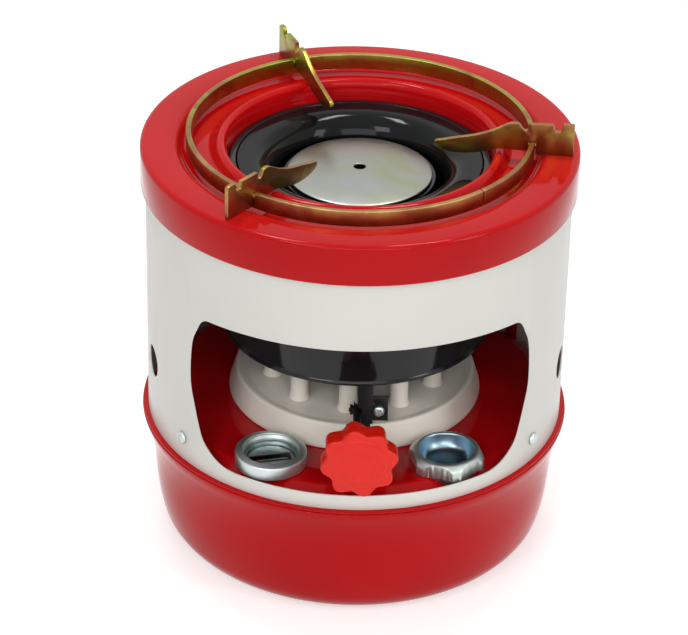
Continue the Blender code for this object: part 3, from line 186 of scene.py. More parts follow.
def roundPath(points, radius, steps=4):
    # Each inner corner becomes a short bend; a third number is that corner's own radius.
    result = [tuple(points[0][:2])]
    for before, here, after in zip(points, points[1:], points[2:]):
        corner = Vector(here[:2])
        back = Vector(before[:2]) - corner
        ahead = Vector(after[:2]) - corner
        reach = here[2] if len(here) > 2 else radius
        half = back.angle(ahead) / 2
        cut = min(reach / math.tan(half), back.length * bendShare, ahead.length * bendShare)
        if cut < shortBend:
            result.append(tuple(corner))
            continue
        start = corner + back.normalized() * cut
        end = corner + ahead.normalized() * cut
        for step in range(steps + 1):
            t = step / steps
            result.append(tuple(start * (1 - t) ** 2 + corner * 2 * t * (1 - t) + end * t**2))
    result.append(tuple(points[-1][:2]))
    return result


def wallPath(path, thickness):
    # The path and the same path set off to its left, as one closed loop.
    inner = []
    for index, here in enumerate(path):
        normals = []
        for start, end in ((path[max(index - 1, 0)], here), (here, path[min(index + 1, len(path) - 1)])):
            step = Vector(end) - Vector(start)
            if step.length > 0:
                normals.append(Vector((-step.y, step.x)) / step.length)
        middle = (normals[0] + normals[-1]) / 2
        moved = Vector(here) + middle * thickness / middle.length_squared
        inner.append((max(moved.x, pole), moved.y))
    return path + inner[::-1]


def turned(name, rings, sides=160, closed=True):
    # Rings of (radius, height), drawn as one circle that is extruded and resized step by step.
    selectNone()
    radius, level = rings[0]
    bpy.ops.mesh.primitive_circle_add(vertices=sides, radius=radius * mm, location=(0, 0, level * mm))
    piece = newPiece(name)
    editAll(piece)
    for nextRadius, nextLevel in rings[1:] + (rings[:1] if closed else []):
        rise = (0, 0, (nextLevel - level) * mm)
        drawOut(rise)
        share = nextRadius / radius
        bpy.ops.transform.resize(value=(share, share, 1), center_override=(0, 0, nextLevel * mm))
        radius, level = nextRadius, nextLevel
    objectMode()
    weld(piece)
    return piece


def turnedSheet(name, path, values):
    # The path gets its sheet's thickness and is turned.
    return turned(name, wallPath(path, values["sheet"]), values["sides"])


def outlined(name, points, depth, across=(1, 0, 0), up=(0, 0, 1), start=(0, 0, 0)):
    # An outline drawn point by point, filled, and given its depth.
    selectNone()
    across, up, depth = Vector(across), Vector(up), Vector(depth)
    places = [(Vector(start) + across * x + up * y) * mm for x, y in points]
    bpy.ops.mesh.primitive_plane_add(size=mm, location=places[0])
    piece = newPiece(name)
    editAll(piece)
    bpy.ops.mesh.merge(type="CENTER")
    for here, there in zip(places, places[1:]):
        bpy.ops.mesh.extrude_vertices_move(TRANSFORM_OT_translate={"value": there - here})
    bpy.ops.mesh.select_all(action="SELECT")
    bpy.ops.mesh.edge_face_add()
    drawOut(depth * mm)
    objectMode()
    weld(piece)
    return piece


def block(name, low, high):
    size = [b - a for a, b in zip(low, high)]
    points = [(0, 0), (size[0], 0), (size[0], size[1]), (0, size[1])]
    return outlined(name, points, (0, 0, size[2]), *flat, low)


def rod(name, radius, start, end, sides=40):
    selectNone()
    along = Vector(end) - Vector(start)
    bpy.ops.mesh.primitive_cylinder_add(vertices=sides, radius=radius * mm, depth=along.length * mm)
    piece = bpy.context.object
    piece.location = [value * mm for value in (Vector(end) + Vector(start)) / 2]
    piece.rotation_euler = along.to_track_quat("Z", "Y").to_euler()
    return newPiece(name)


def drillDown(piece, radius, place, low, high, sides=40):
    cutAway(piece, rod("hole", radius, (*place[:2], low), (*place[:2], high), sides))


def polar(radius, degrees, height=0):
    angle = math.radians(degrees)
    return (radius * math.cos(angle), radius * math.sin(angle), height)


def around(values):
    # Places and angles, spread evenly on a circle.
    for index in range(values["count"]):
        angle = values["firstAngle"] + 360 * index / values["count"]
        yield polar(values["radius"], angle), angle


# Materials


def hexColour(code):
    channels = [int(code[place : place + 2], 16) / 255 for place in (1, 3, 5)]
    linear = [c / 12.92 if c <= 0.04045 else ((c + 0.055) / 1.055) ** 2.4 for c in channels]
    return (*linear, 1)


def perMetre(size):
    return 1000 / size  # a pattern's scale from its real size in mm


def newMaterial(name, values):
    material = bpy.data.materials.new(name)
    material.use_nodes = True
    for socket, value in values.items():
        material.node_tree.nodes["Principled BSDF"].inputs[socket].default_value = value
    return material


def addNode(material, kind, inputs=None, stops=(), to=None, out=0, **settings):
    # Adds a node, fills or links its inputs, and may link its output to the shader.
    tree = material.node_tree
    node = tree.nodes.new("ShaderNode" + kind)
    for name, value in settings.items():
        setattr(node, name, value)
    for socket, value in (inputs or {}).items():
        if isinstance(value, bpy.types.NodeSocket):
            tree.links.new(value, node.inputs[socket])
        else:
            node.inputs[socket].default_value = value
    for index, (place, colour) in enumerate(stops):
        while len(node.color_ramp.elements) <= index:
            node.color_ramp.elements.new(1)
        element = node.color_ramp.elements[index]
        element.position, element.color = place, hexColour(colour)
    if to:
        tree.links.new(node.outputs[out], tree.nodes["Principled BSDF"].inputs[to])
    return node.outputs[out]


def driftingFinish(material, values, details, depth):
    # The colour drifts over the piece, the gloss clouds and a fine relief bends the light, each at its own real size.
    place = addNode(material, "TexCoord", out="Object")
    patch, cloud, grain = [
        {"Vector": place, "Scale": perMetre(values[size]), "Detail": detail}
        for size, detail in zip(("patch", "cloud", "grain"), details)
    ]
    drift = addNode(material, "TexNoise", {**patch, "Distortion": values.get("swirl", 0)})
    if "lean" in values:
        # The colour turns along the piece's y: towards the back it runs to the green end of the range.
        sides = addNode(material, "SeparateXYZ", {"Vector": place}, out="Y")
        drift = addNode(material, "Math", {0: sides, 1: -values["lean"], 2: drift}, operation="MULTIPLY_ADD")
    addNode(material, "ValToRGB", {"Fac": drift}, stops=values["colours"], to="Base Color")
    haze = addNode(material, "TexNoise", cloud)
    low, high = values["roughness"]
    addNode(material, "MapRange", {"Value": haze, "To Min": low, "To Max": high}, to="Roughness")
    bumps = addNode(material, "TexNoise", grain)
    addNode(material, "Bump", {"Height": bumps, "Strength": values["relief"], "Distance": depth * mm}, to="Normal")
    return material


def glossyEnamel(name, values):
    # Glass enamel fired on pressed steel: wet gloss, with the slow waviness that the glaze keeps as it sets.
    material = newMaterial(name, {"Metallic": 0, "IOR": 1.5, "Specular IOR Level": values["shine"]})
    return driftingFinish(material, values, (2, 3, 1), 0.1)


def platedSteel(name, values):
    # Steel sheet with a bright plating: metal sheen, slow colour patches and a faint fine relief.
    return driftingFinish(newMaterial(name, {"Metallic": 1}), values, (3, 4, 2), 0.05)


def mouldedPlastic(name, values):
    # Moulded ABS or rubber, or a lacquer: even colour, a soft gloss that drifts with it, and the mould's fine grain.
    material = newMaterial(name, {"Metallic": 0, "IOR": 1.53, "Specular IOR Level": 0.3})
    return driftingFinish(material, {**values, "cloud": values["patch"]}, (2, 2, 2), 0.05)


redEnamel = glossyEnamel("fired red enamel", {
    "shine": 0.12, "colours": ((0.3, "#B4080E"), (0.7, "#BE0A10")), "roughness": (0.05, 0.11),
    "patch": 70, "cloud": 30, "grain": 7, "relief": 0.1,
})  # fmt: skip
creamEnamel = glossyEnamel("baked cream enamel", {
    "shine": 0.4, "colours": ((0.3, "#D7D6D0"), (0.7, "#DDDCD6")), "roughness": (0.3, 0.4),
    "patch": 90, "cloud": 35, "grain": 3, "relief": 0.1,
})  # fmt: skip
blackEnamel = glossyEnamel("fired black enamel", {
    "shine": 0.3, "colours": ((0.3, "#131416"), (0.7, "#1C1D20")), "roughness": (0.07, 0.13),
    "patch": 60, "cloud": 25, "grain": 4, "relief": 0.12,
})  # fmt: skip
burnerEnamel = glossyEnamel("deep black burner enamel", {
    "shine": 0.14, "colours": ((0.3, "#0C0D0E"), (0.7, "#141516")), "roughness": (0.06, 0.12),
    "patch": 50, "cloud": 20, "grain": 4, "relief": 0.12,
})  # fmt: skip
# Partly the plate's own warmer cream, partly painted light: the colour is made lighter than the shell's enamel so
# that the burner plate and wick tubes, which stand in the shade inside the shell, look brightly lit.
paintedLightPlateEnamel = glossyEnamel("cream enamel brightened as painted light", {
    "shine": 0.4, "colours": ((0.3, "#EEE7DB"), (0.7, "#F3EDE2")), "roughness": (0.28, 0.38),
    "patch": 40, "cloud": 20, "grain": 3, "relief": 0.12,
})  # fmt: skip
zincPlate = platedSteel("bright zinc plate", {
    "colours": ((0.25, "#93A3AA"), (0.5, "#B2BEC2"), (0.75, "#C8CDCB")), "roughness": (0.24, 0.38),
    "patch": 14, "swirl": 0.4, "cloud": 8, "grain": 1.2, "relief": 0.12,
})  # fmt: skip
satinPlate = platedSteel("satin zinc plate", {
    "colours": ((0.25, "#B4BDB6"), (0.5, "#C6CECC"), (0.75, "#D2D9DC")), "roughness": (0.38, 0.5),
    "patch": 16, "swirl": 0.4, "cloud": 8, "grain": 1, "relief": 0.14,
})  # fmt: skip
# Painted shade: a darker, bluer copy of the plating, given only to the faces in the filler cap's recess.
shadedBluePlate = platedSteel("blue zinc with painted shade", {
    "colours": ((0.25, "#7191A6"), (0.5, "#86A0B0"), (0.75, "#9CAAA0")), "roughness": (0.24, 0.36),
    "patch": 12, "swirl": 0.6, "cloud": 8, "grain": 1.2, "relief": 0.12,
})  # fmt: skip
zincDisc = platedSteel("pale zinc plate", {
    "colours": ((0.28, "#979D7E"), (0.42, "#9C9F92"), (0.6, "#9EA19D"), (0.75, "#A0A3AB")), "roughness": (0.26, 0.38),
    "patch": 38, "swirl": 0.8, "cloud": 12, "grain": 1.2, "relief": 0.1,
})  # fmt: skip
goldPlate = platedSteel("yellow passivated zinc", {
    "colours": ((0.2, "#8E9A34"), (0.36, "#9C8C40"), (0.5, "#8A6A3A"), (0.64, "#9A6C4A"), (0.8, "#AC8E54")),
    "roughness": (0.24, 0.4), "patch": 24, "swirl": 0.7, "cloud": 10, "grain": 1.4, "relief": 0.16,
    "lean": 1.4,  # of the whole colour range, to a metre
})  # fmt: skip
dullSteel = {
    "colours": ((0.3, "#8F9293"), (0.7, "#A9ACAC")), "roughness": (0.32, 0.48),
    "patch": 12, "swirl": 0.3, "cloud": 6, "grain": 1, "relief": 0.15,
}  # fmt: skip
darkSteel = {**dullSteel, "colours": ((0.3, "#2A2B2D"), (0.7, "#38393A")), "roughness": (0.34, 0.5), "patch": 10}
screwSteel = platedSteel("zinc plated screw steel", dullSteel)
# Blackened steel on the shaft. On the pinion it is also painted shade.
blackSteelAndShade = platedSteel("blackened spring steel and painted shade", darkSteel)
knobPlastic = mouldedPlastic("moulded red ABS", {
    "colours": ((0.1, "#DA1808"), (0.9, "#E6220C")), "roughness": (0.22, 0.32),
    "patch": 18, "grain": 0.8, "relief": 0.12,
})  # fmt: skip
oilRubber = mouldedPlastic("moulded nitrile rubber", {
    "colours": ((0.3, "#1B1B1C"), (0.7, "#262627")), "roughness": (0.6, 0.75),
    "patch": 8, "grain": 0.6, "relief": 0.3,
})  # fmt: skip
lacquer = {"roughness": (0.35, 0.5), "patch": 6, "grain": 1, "relief": 0.1}
blackCoat = {**lacquer, "colours": ((0.3, "#171819"), (0.7, "#212224")), "patch": 10}
blackLacquer = mouldedPlastic("black lacquer", blackCoat)
markPaint = mouldedPlastic("red indicator lacquer", {**lacquer, "colours": ((0.3, "#8E1512"), (0.7, "#A81B16"))})
linePaint = mouldedPlastic("pale indicator lacquer", {**lacquer, "colours": ((0.3, "#C9CCC9"), (0.7, "#D9DCD8"))})


def cellFinish(material, values):
    # Small raised cells with dark gaps between them.
    place = addNode(material, "TexCoord", out="Object")
    spread = {"Vector": place, "Scale": perMetre(values["grain"]), "Randomness": values["stray"]}
    cells = addNode(material, "TexVoronoi", spread, feature="F1")
    addNode(material, "ValToRGB", {"Fac": cells}, stops=values["colours"], to="Base Color")
    relief = {"Height": cells, "Strength": values["relief"], "Distance": values["depth"] * mm}
    addNode(material, "Bump", relief, to="Normal", invert=True)
    return material


def braidedCotton(name, values):
    # Braided cotton cord: matt, with small raised stitch cells; drawn coarser than the thread so that it shows.
    return cellFinish(newMaterial(name, {"Metallic": 0, "Roughness": 0.92, "IOR": 1.45, "Sheen Weight": 0.3}), values)


def pressedCork(name, values):
    # Pressed cork: small brown grains with dark gaps.
    return cellFinish(newMaterial(name, {"Metallic": 0, "Roughness": 0.85}), values)


def clearPane(name, values):
    # Clear window glass, bloomed so that it hardly mirrors, with a faint handling haze in its roughness.
    colour = hexColour(values["colour"])
    material = newMaterial(name, {"Metallic": 0, "IOR": 1.12, "Transmission Weight": 1, "Base Color": colour})
    place = addNode(material, "TexCoord", out="Object")
    haze = addNode(material, "TexNoise", {"Vector": place, "Scale": perMetre(values["haze"]), "Detail": 3})
    low, high = values["roughness"]
    addNode(material, "MapRange", {"Value": haze, "To Min": low, "To Max": high}, to="Roughness")
    shadow = addNode(material, "LightPath", out="Is Shadow Ray")
    addNode(material, "Math", {0: 1, 1: shadow}, to="Alpha", operation="SUBTRACT")  # lets the lamp light through
    return material


braid = {"grain": 1.3, "stray": 0.6, "colours": ((0.1, "#EFEBDD"), (0.9, "#C9C2AC")), "relief": 0.6, "depth": 0.3}
bark = {"grain": 2.2, "stray": 1, "colours": ((0.2, "#B98F62"), (0.8, "#7A5534")), "relief": 0.4, "depth": 0.2}
wickCotton = braidedCotton("braided wick cotton", braid)
floatCork = pressedCork("pressed cork", bark)
clearGlass = clearPane("clear gauge glass", {"colour": "#F4F8F6", "haze": 6, "roughness": (0, 0.05)})
print("materials ready")


# Tank

bowl = {
    "sides": 192,
    "sheet": -0.9,  # the wall lies inside the path
    "path": [
        (129.6, 81.4), (130.35, 81.1), (130.5, 80.2), (129.6, 77), (127.9, 72.5), (126.2, 66.5), (124.4, 58),
        (123.3, 48), (122.6, 38), (121.6, 28), (120.2, 19.6), (117.6, 10.6), (111.4, 3.2), (101, 0.1),
    ],
    "floor": [(96, 0.05), (92, 0.7), (88, 1.6), (40, 1.8), (pole, 1.8)],
}  # fmt: skip


def makeTankBowl():
    piece = turnedSheet("tankBowl", smoothPath(bowl["path"], 3) + bowl["floor"], bowl)
    finishPiece(piece, "base", redEnamel, "red_enamel", "tank_bowl", smooth=50)


tankTop = {
    "sides": 192,
    "sheet": 0.9,
    "path": [(130.1, 82.75), (125.6, 82.75, 1.2), (113.2, 91.45, 5), (72.6, 91.45)],
    "edges": (0.25, 2, 50),
    "fillerPlace": polar(103, -59.6),
    "fillerHole": 18.9,
    "gaugePlace": polar(103, -120.2),
    "gaugeHole": 16.4,
    "holeSpan": (80, 96),
    "holeSides": 96,
    "tabAngles": (-145.2, -34.8, 34.8, 145.2),
    "tabWidth": 9.5,
    "tabSpan": (82, 101.7),
    "tabCorner": 3,
    "tabRadius": 125.2,
    "tabSheet": 1.1,
    "tabEdges": (0.2, 2, 50),
}


def makeTankTop():
    piece = turnedSheet("tankTop", roundPath(tankTop["path"], 3, 5), tankTop)
    for fitting in ("filler", "gauge"):
        place, radius = tankTop[fitting + "Place"], tankTop[fitting + "Hole"]
        drillDown(piece, radius, place, *tankTop["holeSpan"], tankTop["holeSides"])
    roundEdges(piece, *tankTop["edges"])
    half, corner = tankTop["tabWidth"] / 2, tankTop["tabCorner"]
    low, high = tankTop["tabSpan"]
    corners = roundPath([(-half, low), (-half, high), (half, high), (half, low)], corner)
    inside = (tankTop["tabRadius"] - tankTop["tabSheet"], 0, 0)
    for angle in tankTop["tabAngles"]:
        tab = outlined("tab", corners, (tankTop["tabSheet"], 0, 0), (0, 1, 0), (0, 0, 1), inside)
        roundEdges(tab, *tankTop["tabEdges"])
        applyPlace(tab, turn=(0, 0, angle))
        piece = joined("tankTop", piece, tab)
    finishPiece(piece, "base", redEnamel, "red_enamel", "tank_top", smooth=45)


makeTankBowl()
makeTankTop()
print("tank made")


# Shell with its window, side holes and screws

shell = {
    "sides": 240,
    "radius": 127,
    "sheet": 0.8,
    "low": 82.9,
    "high": 258.6,
    "edges": (0.18, 2, 50),
    "windowAngle": 51.2,
    "windowLow": 92.5,
    "windowHeight": 98.5,
    "window": [
        (0.3, 1), (0.6, 0.993), (0.84, 0.979), (0.888, 0.969), (0.92, 0.938), (0.947, 0.88), (0.983, 0.787),
        (1, 0.635), (1, 0.482), (0.972, 0.35), (0.932, 0.198), (0.898, 0.117), (0.825, 0.045), (0.752, 0.01),
        (0.684, 0),
    ],
    "windowFace": -78,  # its cutter starts here and goes this far forwards
    "windowCut": -60,
    "sideHoleAngles": (-165, -15),
    "sideHoleRadius": 10,
    "sideHoleLevel": 127,
    "sideHoleCut": (115, 135),  # radii that its cutter reaches from and to
    "seamWidth": 0.35,
    "seamDepth": 0.3,
}  # fmt: skip


def windowOutline():
    reach = math.radians(shell["windowAngle"])
    right = []
    for across, up in smoothPath(shell["window"], 3):
        x = shell["radius"] * math.sin(reach * across)
        right.append((x, shell["windowLow"] + shell["windowHeight"] * up))
    left = [(-x, z) for x, z in right]
    return right + left[::-1]


def makeShell():
    radius, low, high, level = shell["radius"], shell["low"], shell["high"], shell["sideHoleLevel"]
    piece = turnedSheet("shellBody", [(radius, low), (radius, high)], shell)
    cut, face = (0, shell["windowCut"], 0), (0, shell["windowFace"], 0)
    cutAway(piece, outlined("window", windowOutline(), cut, start=face))
    for angle in shell["sideHoleAngles"]:
        start, end = [polar(reach, angle, level) for reach in shell["sideHoleCut"]]
        cutAway(piece, rod("sideHole", shell["sideHoleRadius"], start, end, sides=64))
    half, reach = shell["seamWidth"] / 2, 5
    inside = radius - shell["seamDepth"]
    cutAway(piece, block("seam", (-half, inside, low - reach), (half, radius + reach, high + reach)))
    roundEdges(piece, *shell["edges"])
    finishPiece(piece, "base", creamEnamel, "cream_enamel", "shell", smooth=35)


panHead = {
    "sides": 48,
    "radius": 4,
    "height": 2.2,
    "dome": [(0.45, 0.96), (0.78, 0.78), (0.96, 0.45), (1, 0.15), (0.99, 0)],  # shares of radius and height
    "shank": 1.5,
    "length": 3.2,
    "slotWidth": 1,
    "slotDepth": 0.9,
    "slotReach": 1.3,
    "edges": (0.12, 2, 45),
    "seat": 127.25,
    "level": 97.7,
    "slotTurns": (20, -35, 70, 5),
}


def panScrew(name, values, crossed):
    radius, height, shank, length = values["radius"], values["height"], values["shank"], -values["length"]
    dome = [(radius * across, height * up) for across, up in values["dome"]]
    rings = [(pole, height), *dome, (shank, 0), (shank, length), (pole, length)]
    piece = turned(name, rings, values["sides"], closed=False)
    half, reach = values["slotWidth"] / 2, radius * values["slotReach"]
    floor, above = height - values["slotDepth"], height + 1
    cutAway(piece, block("slot", (-reach, -half, floor), (reach, half, above)))
    if crossed:
        cutAway(piece, block("slot", (-half, -reach, floor), (half, reach, above)))
    roundEdges(piece, *values["edges"])
    return piece


def makeShellScrews():
    model = panScrew("shellScrew", panHead, False)
    for number, angle, turn in zip("1234", tankTop["tabAngles"], panHead["slotTurns"]):
        screw = copyOf(model, "shellScrew" + number, turn=(0, 0, turn))
        place = polar(panHead["seat"], angle, panHead["level"])
        applyPlace(screw, place, (0, 90, angle))
        finishPiece(screw, "base", satinPlate, "zinc_plate", nearestNode("shell_screw_", place))
    bpy.data.objects.remove(model)


def nearestNode(prefix, place):
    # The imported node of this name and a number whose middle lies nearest.
    def gap(name):
        low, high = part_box(name)
        return ((low + high) / 2 - Vector(place) * mm).length

    return min([name for name in nodes if name.startswith(prefix) and name[len(prefix) :].isdigit()], key=gap)


makeShell()
makeShellScrews()
print("shell made")


# Top plate, drum, flame ring and spreader

topPlate = {
    "sides": 240,
    "sheet": 0.9,
    "edge": [
        (130, 235.25), (130, 260, 3.2), (109, 260, 5), (105, 255, 4), (88.9, 255, 4), (86.6, 257.3),
    ],
    "collar": [
        (86.6, 257.3), (84.7, 259.2), (82.2, 260), (79.9, 258.8), (78.6, 255.2), (78.1, 250), (78, 245.15),
    ],
    "edges": (0.25, 2, 60),
}  # fmt: skip


def makeTopPlate():
    path = roundPath(topPlate["edge"], 3, 6)[:-1] + smoothPath(topPlate["collar"], 4)
    piece = turnedSheet("topPlate", path, topPlate)
    roundEdges(piece, *topPlate["edges"])
    finishPiece(piece, "base", redEnamel, "red_enamel", "top_plate", smooth=50)


drum = {
    "sides": 200,
    "sheet": 0.8,
    "foot": [(76.8, 139.1), (79.6, 139.1), (81.1, 139.5), (81.75, 140.5), (81.45, 141.6), (80.95, 142.4), (81, 144)],
    "path": [
        (81, 144), (81, 244.7, 1.6), (77.6, 244.7, 0.4), (77.3, 247.7, 0.7), (73.5, 247.7, 0.4),
        (73.4, 244.75, 0.4), (70.6, 244.75),
    ],
    "edges": (0.2, 2, 60),
    "bead": (76.9, 139.75, 0.65),  # radius, height and half its thickness
}  # fmt: skip


def makeDrum():
    path = smoothPath(drum["foot"], 4)[:-1] + roundPath(drum["path"], 1.5, 5)
    piece = turnedSheet("burnerDrum", path, drum)
    roundEdges(piece, *drum["edges"])
    x, z, size = drum["bead"]
    turns = [math.tau * step / 10 for step in range(10)]
    bead = turned("drumBead", [(x + size * math.cos(a), z + size * math.sin(a)) for a in turns], drum["sides"])
    piece = joined("burnerDrum", piece, bead)
    finishPiece(piece, "base", blackEnamel, "black_enamel", "burner_drum", smooth=50)


flameRing = {
    "sides": 200,
    "sheet": 0.8,
    "path": [
        (73, 246), (72.95, 247.6), (72.4, 248.15), (70, 248.1), (64.5, 247.9), (61, 247.5), (58.4, 246.6),
        (56.2, 245.3), (54.3, 243.7), (52.8, 241.8), (51.6, 239.8), (50.7, 237.7), (50, 235.6),
    ],
    "edges": (0.2, 2, 60),
}  # fmt: skip


def makeFlameRing():
    piece = turnedSheet("flameRing", smoothPath(flameRing["path"], 4), flameRing)
    roundEdges(piece, *flameRing["edges"])
    finishPiece(piece, "burner", burnerEnamel, "black_enamel", "flame_ring", smooth=50)


spreader = {
    "sides": 160,
    "sheet": 1,
    "dome": [
        (43.2, 238.3), (43.15, 238.9), (42.6, 239.3), (40, 239.9), (34, 240.9), (24, 241.8), (12, 242.4),
        (4.6, 242.5), (3.7, 242.3), (3.5, 241.6),
    ],
    "edges": (0.15, 2, 60),
}  # fmt: skip


def makeSpreader():
    piece = turnedSheet("flameSpreader", smoothPath(spreader["dome"], 3), spreader)
    roundEdges(piece, *spreader["edges"])
    finishPiece(piece, "burner", zincDisc, "zinc_plate", "flame_spreader", smooth=50)


sleeves = {
    "sides": 160,
    "sheet": 0.8,
    "low": 148.4,
    "outer": (57.9, 245.2, 44),  # radius, height of the top and holes around
    "inner": (44.7, 236.7, 34),
    "rimRadius": 41.2,
    "rimLift": 0.35,
    "rows": 12,
    "holeRadius": 1.9,
    "bandShare": 0.11,
}


def perforatedCell(name, cell, holeRadius):
    # One flat square of the sleeve with an eight-sided hole in it.
    selectNone()
    bpy.ops.mesh.primitive_plane_add(size=mm, rotation=(math.pi / 2, 0, 0))
    piece = newPiece(name, (cell[0], cell[1], 1))
    editAll(piece)
    bpy.ops.mesh.subdivide(number_cuts=1)
    editOnly(piece, "VERT", lambda corner: corner.co.length < 0.1 * mm)  # the middle one
    bpy.ops.mesh.delete(type="VERT")
    bpy.ops.mesh.select_all(action="SELECT")
    drawOut((0, 0, 0))
    share = 2 * holeRadius / (cell[0] + cell[1])
    bpy.ops.transform.resize(value=(share, share, share), center_override=(0, 0, 0))
    bpy.ops.transform.tosphere(value=1)
    objectMode()
    return piece


def repeat(piece, count, step):
    offset = {"use_relative_offset": False, "use_constant_offset": True, "constant_offset_displace": step}
    modify(piece, "ARRAY", count=count, use_merge_vertices=True, merge_threshold=0.02 * mm, **offset)


def perforatedTube(name, radius, high, holes):
    # The square is repeated along and up, banded at both ends, and bent round into a tube.
    height = high - sleeves["low"]
    band = height * sleeves["bandShare"]
    cell = (math.tau * radius / holes, (height - 2 * band) / sleeves["rows"])
    piece = perforatedCell(name, cell, sleeves["holeRadius"])
    repeat(piece, holes, (cell[0] * mm, 0, 0))
    repeat(piece, sleeves["rows"], (0, 0, cell[1] * mm))
    top = max(corner.co.z for corner in piece.data.vertices)
    low = min(corner.co.z for corner in piece.data.vertices)
    for level, rise in ((top, band), (low, -band)):
        editOnly(piece, "VERT", lambda corner: abs(corner.co.z - level) < 0.01 * mm)
        drawOut((0, 0, rise * mm))
        objectMode()
    modify(piece, "SIMPLE_DEFORM", deform_method="BEND", deform_axis="Z", angle=math.tau)
    x, y, z = zip(*[corner.co for corner in piece.data.vertices])
    middle = [(max(places) + min(places)) / 2 for places in (x, y)]
    applyPlace(piece, (-middle[0] / mm, -middle[1] / mm, sleeves["low"] - min(z) / mm))
    weld(piece, reach=0.05)
    modify(piece, "SOLIDIFY", thickness=sleeves["sheet"] * mm, offset=0)
    return piece


def makeSleeves():
    for side in ("outer", "inner"):
        radius, high, holes = sleeves[side]
        piece = perforatedTube(side + "Sleeve", radius, high, holes)
        if side == "inner":
            level = high + sleeves["rimLift"]
            path = [(radius + sleeves["sheet"] / 2, level), (sleeves["rimRadius"], level)]
            piece = joined("innerSleeve", piece, turnedSheet("rim", path, sleeves))
        finishPiece(piece, "burner", blackEnamel, "black_enamel", side + "_sleeve", smooth=30)


makeTopPlate()
makeDrum()
makeFlameRing()
makeSpreader()
makeSleeves()
print("top plate and burner made")


# Burner plate, wick tubes, wicks and gallery

burnerPlate = {
    "sides": 180,
    "sheet": 1.2,
    "path": [
        (77.15, 91.85), (77.15, 93.4, 2), (73.3, 105.6, 1), (72.2, 106.7, 0.8), (70.9, 106.75, 1), (66.5, 105.3, 8),
        (60, 105, 8), (30, 105), (pole, 105),
    ],
    "holeSpan": (100, 110),
    "holeRoom": 0.3,
    "slot": ((2.02, -71, 100), (7.34, -67.4, 110)),
    "lug": ((8.8, -66.7, 104.2), (15.5, -64.9, 120)),
    "lugEdges": (0.5, 3, 60),
}  # fmt: skip
wickRing = {
    "count": 10,
    "radius": 51.3,
    "firstAngle": -96.4,
    "tubeRadius": 5.4,
    "tubeSides": 48,
    "tube": [
        (4.4, 84.05), (5.4, 84.05), (5.4, 105.35), (6.5, 105.35), (6.6, 105.5), (6.4, 105.85), (6.05, 106.5),
        (5.75, 107.5), (5.52, 108.9), (5.42, 110.6), (5.4, 113), (5.4, 146.3), (5, 146.85), (4.95, 153.7),
        (4.8, 153.95), (4.55, 153.95), (4.4, 153.7),
    ],
    "wickSides": 32,
    "wickRadius": 4.05,
    "wickSpan": (18, 156.9),
    "wickRings": 46,
    "hollow": 0.95,  # shares of the wick's radius, between two ridges and at its worn tip
    "tip": 0.86,
    "crown": 0.05,
}  # fmt: skip


def makeBurnerPlate():
    piece = turnedSheet("burnerPlate", roundPath(burnerPlate["path"], 1.5, 5), burnerPlate)
    for place, _ in around(wickRing):
        drillDown(piece, wickRing["tubeRadius"] + burnerPlate["holeRoom"], place, *burnerPlate["holeSpan"])
    cutAway(piece, block("rackSlot", *burnerPlate["slot"]))
    lug = block("lug", *burnerPlate["lug"])
    roundEdges(lug, *burnerPlate["lugEdges"])
    piece = joined("burnerPlate", piece, lug)
    # Its enamel is brightened as painted light for the shade inside the shell.
    finishPiece(piece, "base", paintedLightPlateEnamel, "cream_enamel", "burner_plate", smooth=45)


def placeOnRing(model, name, prefix, body, material, slotName, smooth):
    # A copy of the model at each of the ten places.
    for place, angle in around(wickRing):
        copy = copyOf(model, name, place, (0, 0, angle))
        node = nearestNode(prefix, place)
        copy.name = node.replace(prefix, name)
        finishPiece(copy, body, material, slotName, node, smooth=smooth)
    bpy.data.objects.remove(model)


def makeWickTubes():
    model = turned("tubeModel", wickRing["tube"], wickRing["tubeSides"])
    # The tubes take the same enamel, brightened as painted light for the shade inside the shell.
    placeOnRing(model, "wickTube", "wick_tube_", "base", paintedLightPlateEnamel, "cream_enamel", 50)


def makeWicks():
    # A plaited cord: its sides swell and shrink in ridges.
    low, high = wickRing["wickSpan"]
    radius, count = wickRing["wickRadius"], wickRing["wickRings"]
    step = (high - low) / count
    rings = [(radius * (1 if index % 2 else wickRing["hollow"]), low + step * index) for index in range(count)]
    rings = [(pole, low), *rings, (radius * wickRing["tip"], high), (pole, high + wickRing["crown"])]
    model = turned("wickModel", rings, wickRing["wickSides"], closed=False)
    placeOnRing(model, "wickCord", "wick_", "wick_set", wickCotton, "wick_cotton", 60)


gallery = {
    "sides": 160,
    "sheet": 0.8,
    "path": [(60.2, 147.95), (43.2, 147.95)],
    "hole": 5.25,
    "holeSpan": (145, 150),
    "edges": (0.2, 2, 50),
}


def makeGallery():
    piece = turnedSheet("wickGallery", gallery["path"], gallery)
    for place, _ in around(wickRing):
        drillDown(piece, gallery["hole"], place, *gallery["holeSpan"])
    roundEdges(piece, *gallery["edges"])
    finishPiece(piece, "base", blackEnamel, "black_enamel", "wick_gallery")


makeBurnerPlate()
makeWickTubes()
makeWicks()
makeGallery()
print("wicks made")


# Rack guide and its screw

guide = {
    "plan": [
        (-0.5, -72), (8.44, -72), (8.44, -68.02), (17.7, -68.02), (17.7, -67.02), (7.44, -67.02), (7.44, -71),
        (-0.5, -71),
    ],
    "span": (107.1, 146),
    "relief": ((8.44, -75, 124.1), (20, -65, 149)),  # above the flange
    "shaft": (-1, 115.7, 2.9, -70.5),  # x, z, radius and depth of each hole
    "screw": (12.1, 114.1, 1.9, -66),
    "spare": (9.9, 119.5, 1.2, -67.7),
    "holeFace": -76,
    "edges": (0.3, 2, 50),
}  # fmt: skip
crossHead = {
    **panHead,
    "radius": 3.6,
    "height": 2.1,
    "length": 3,
    "slotWidth": 1.1,
    "slotDepth": 1.3,
    "slotReach": 0.58,
    "seat": -68.3,
    "turn": 35,
}


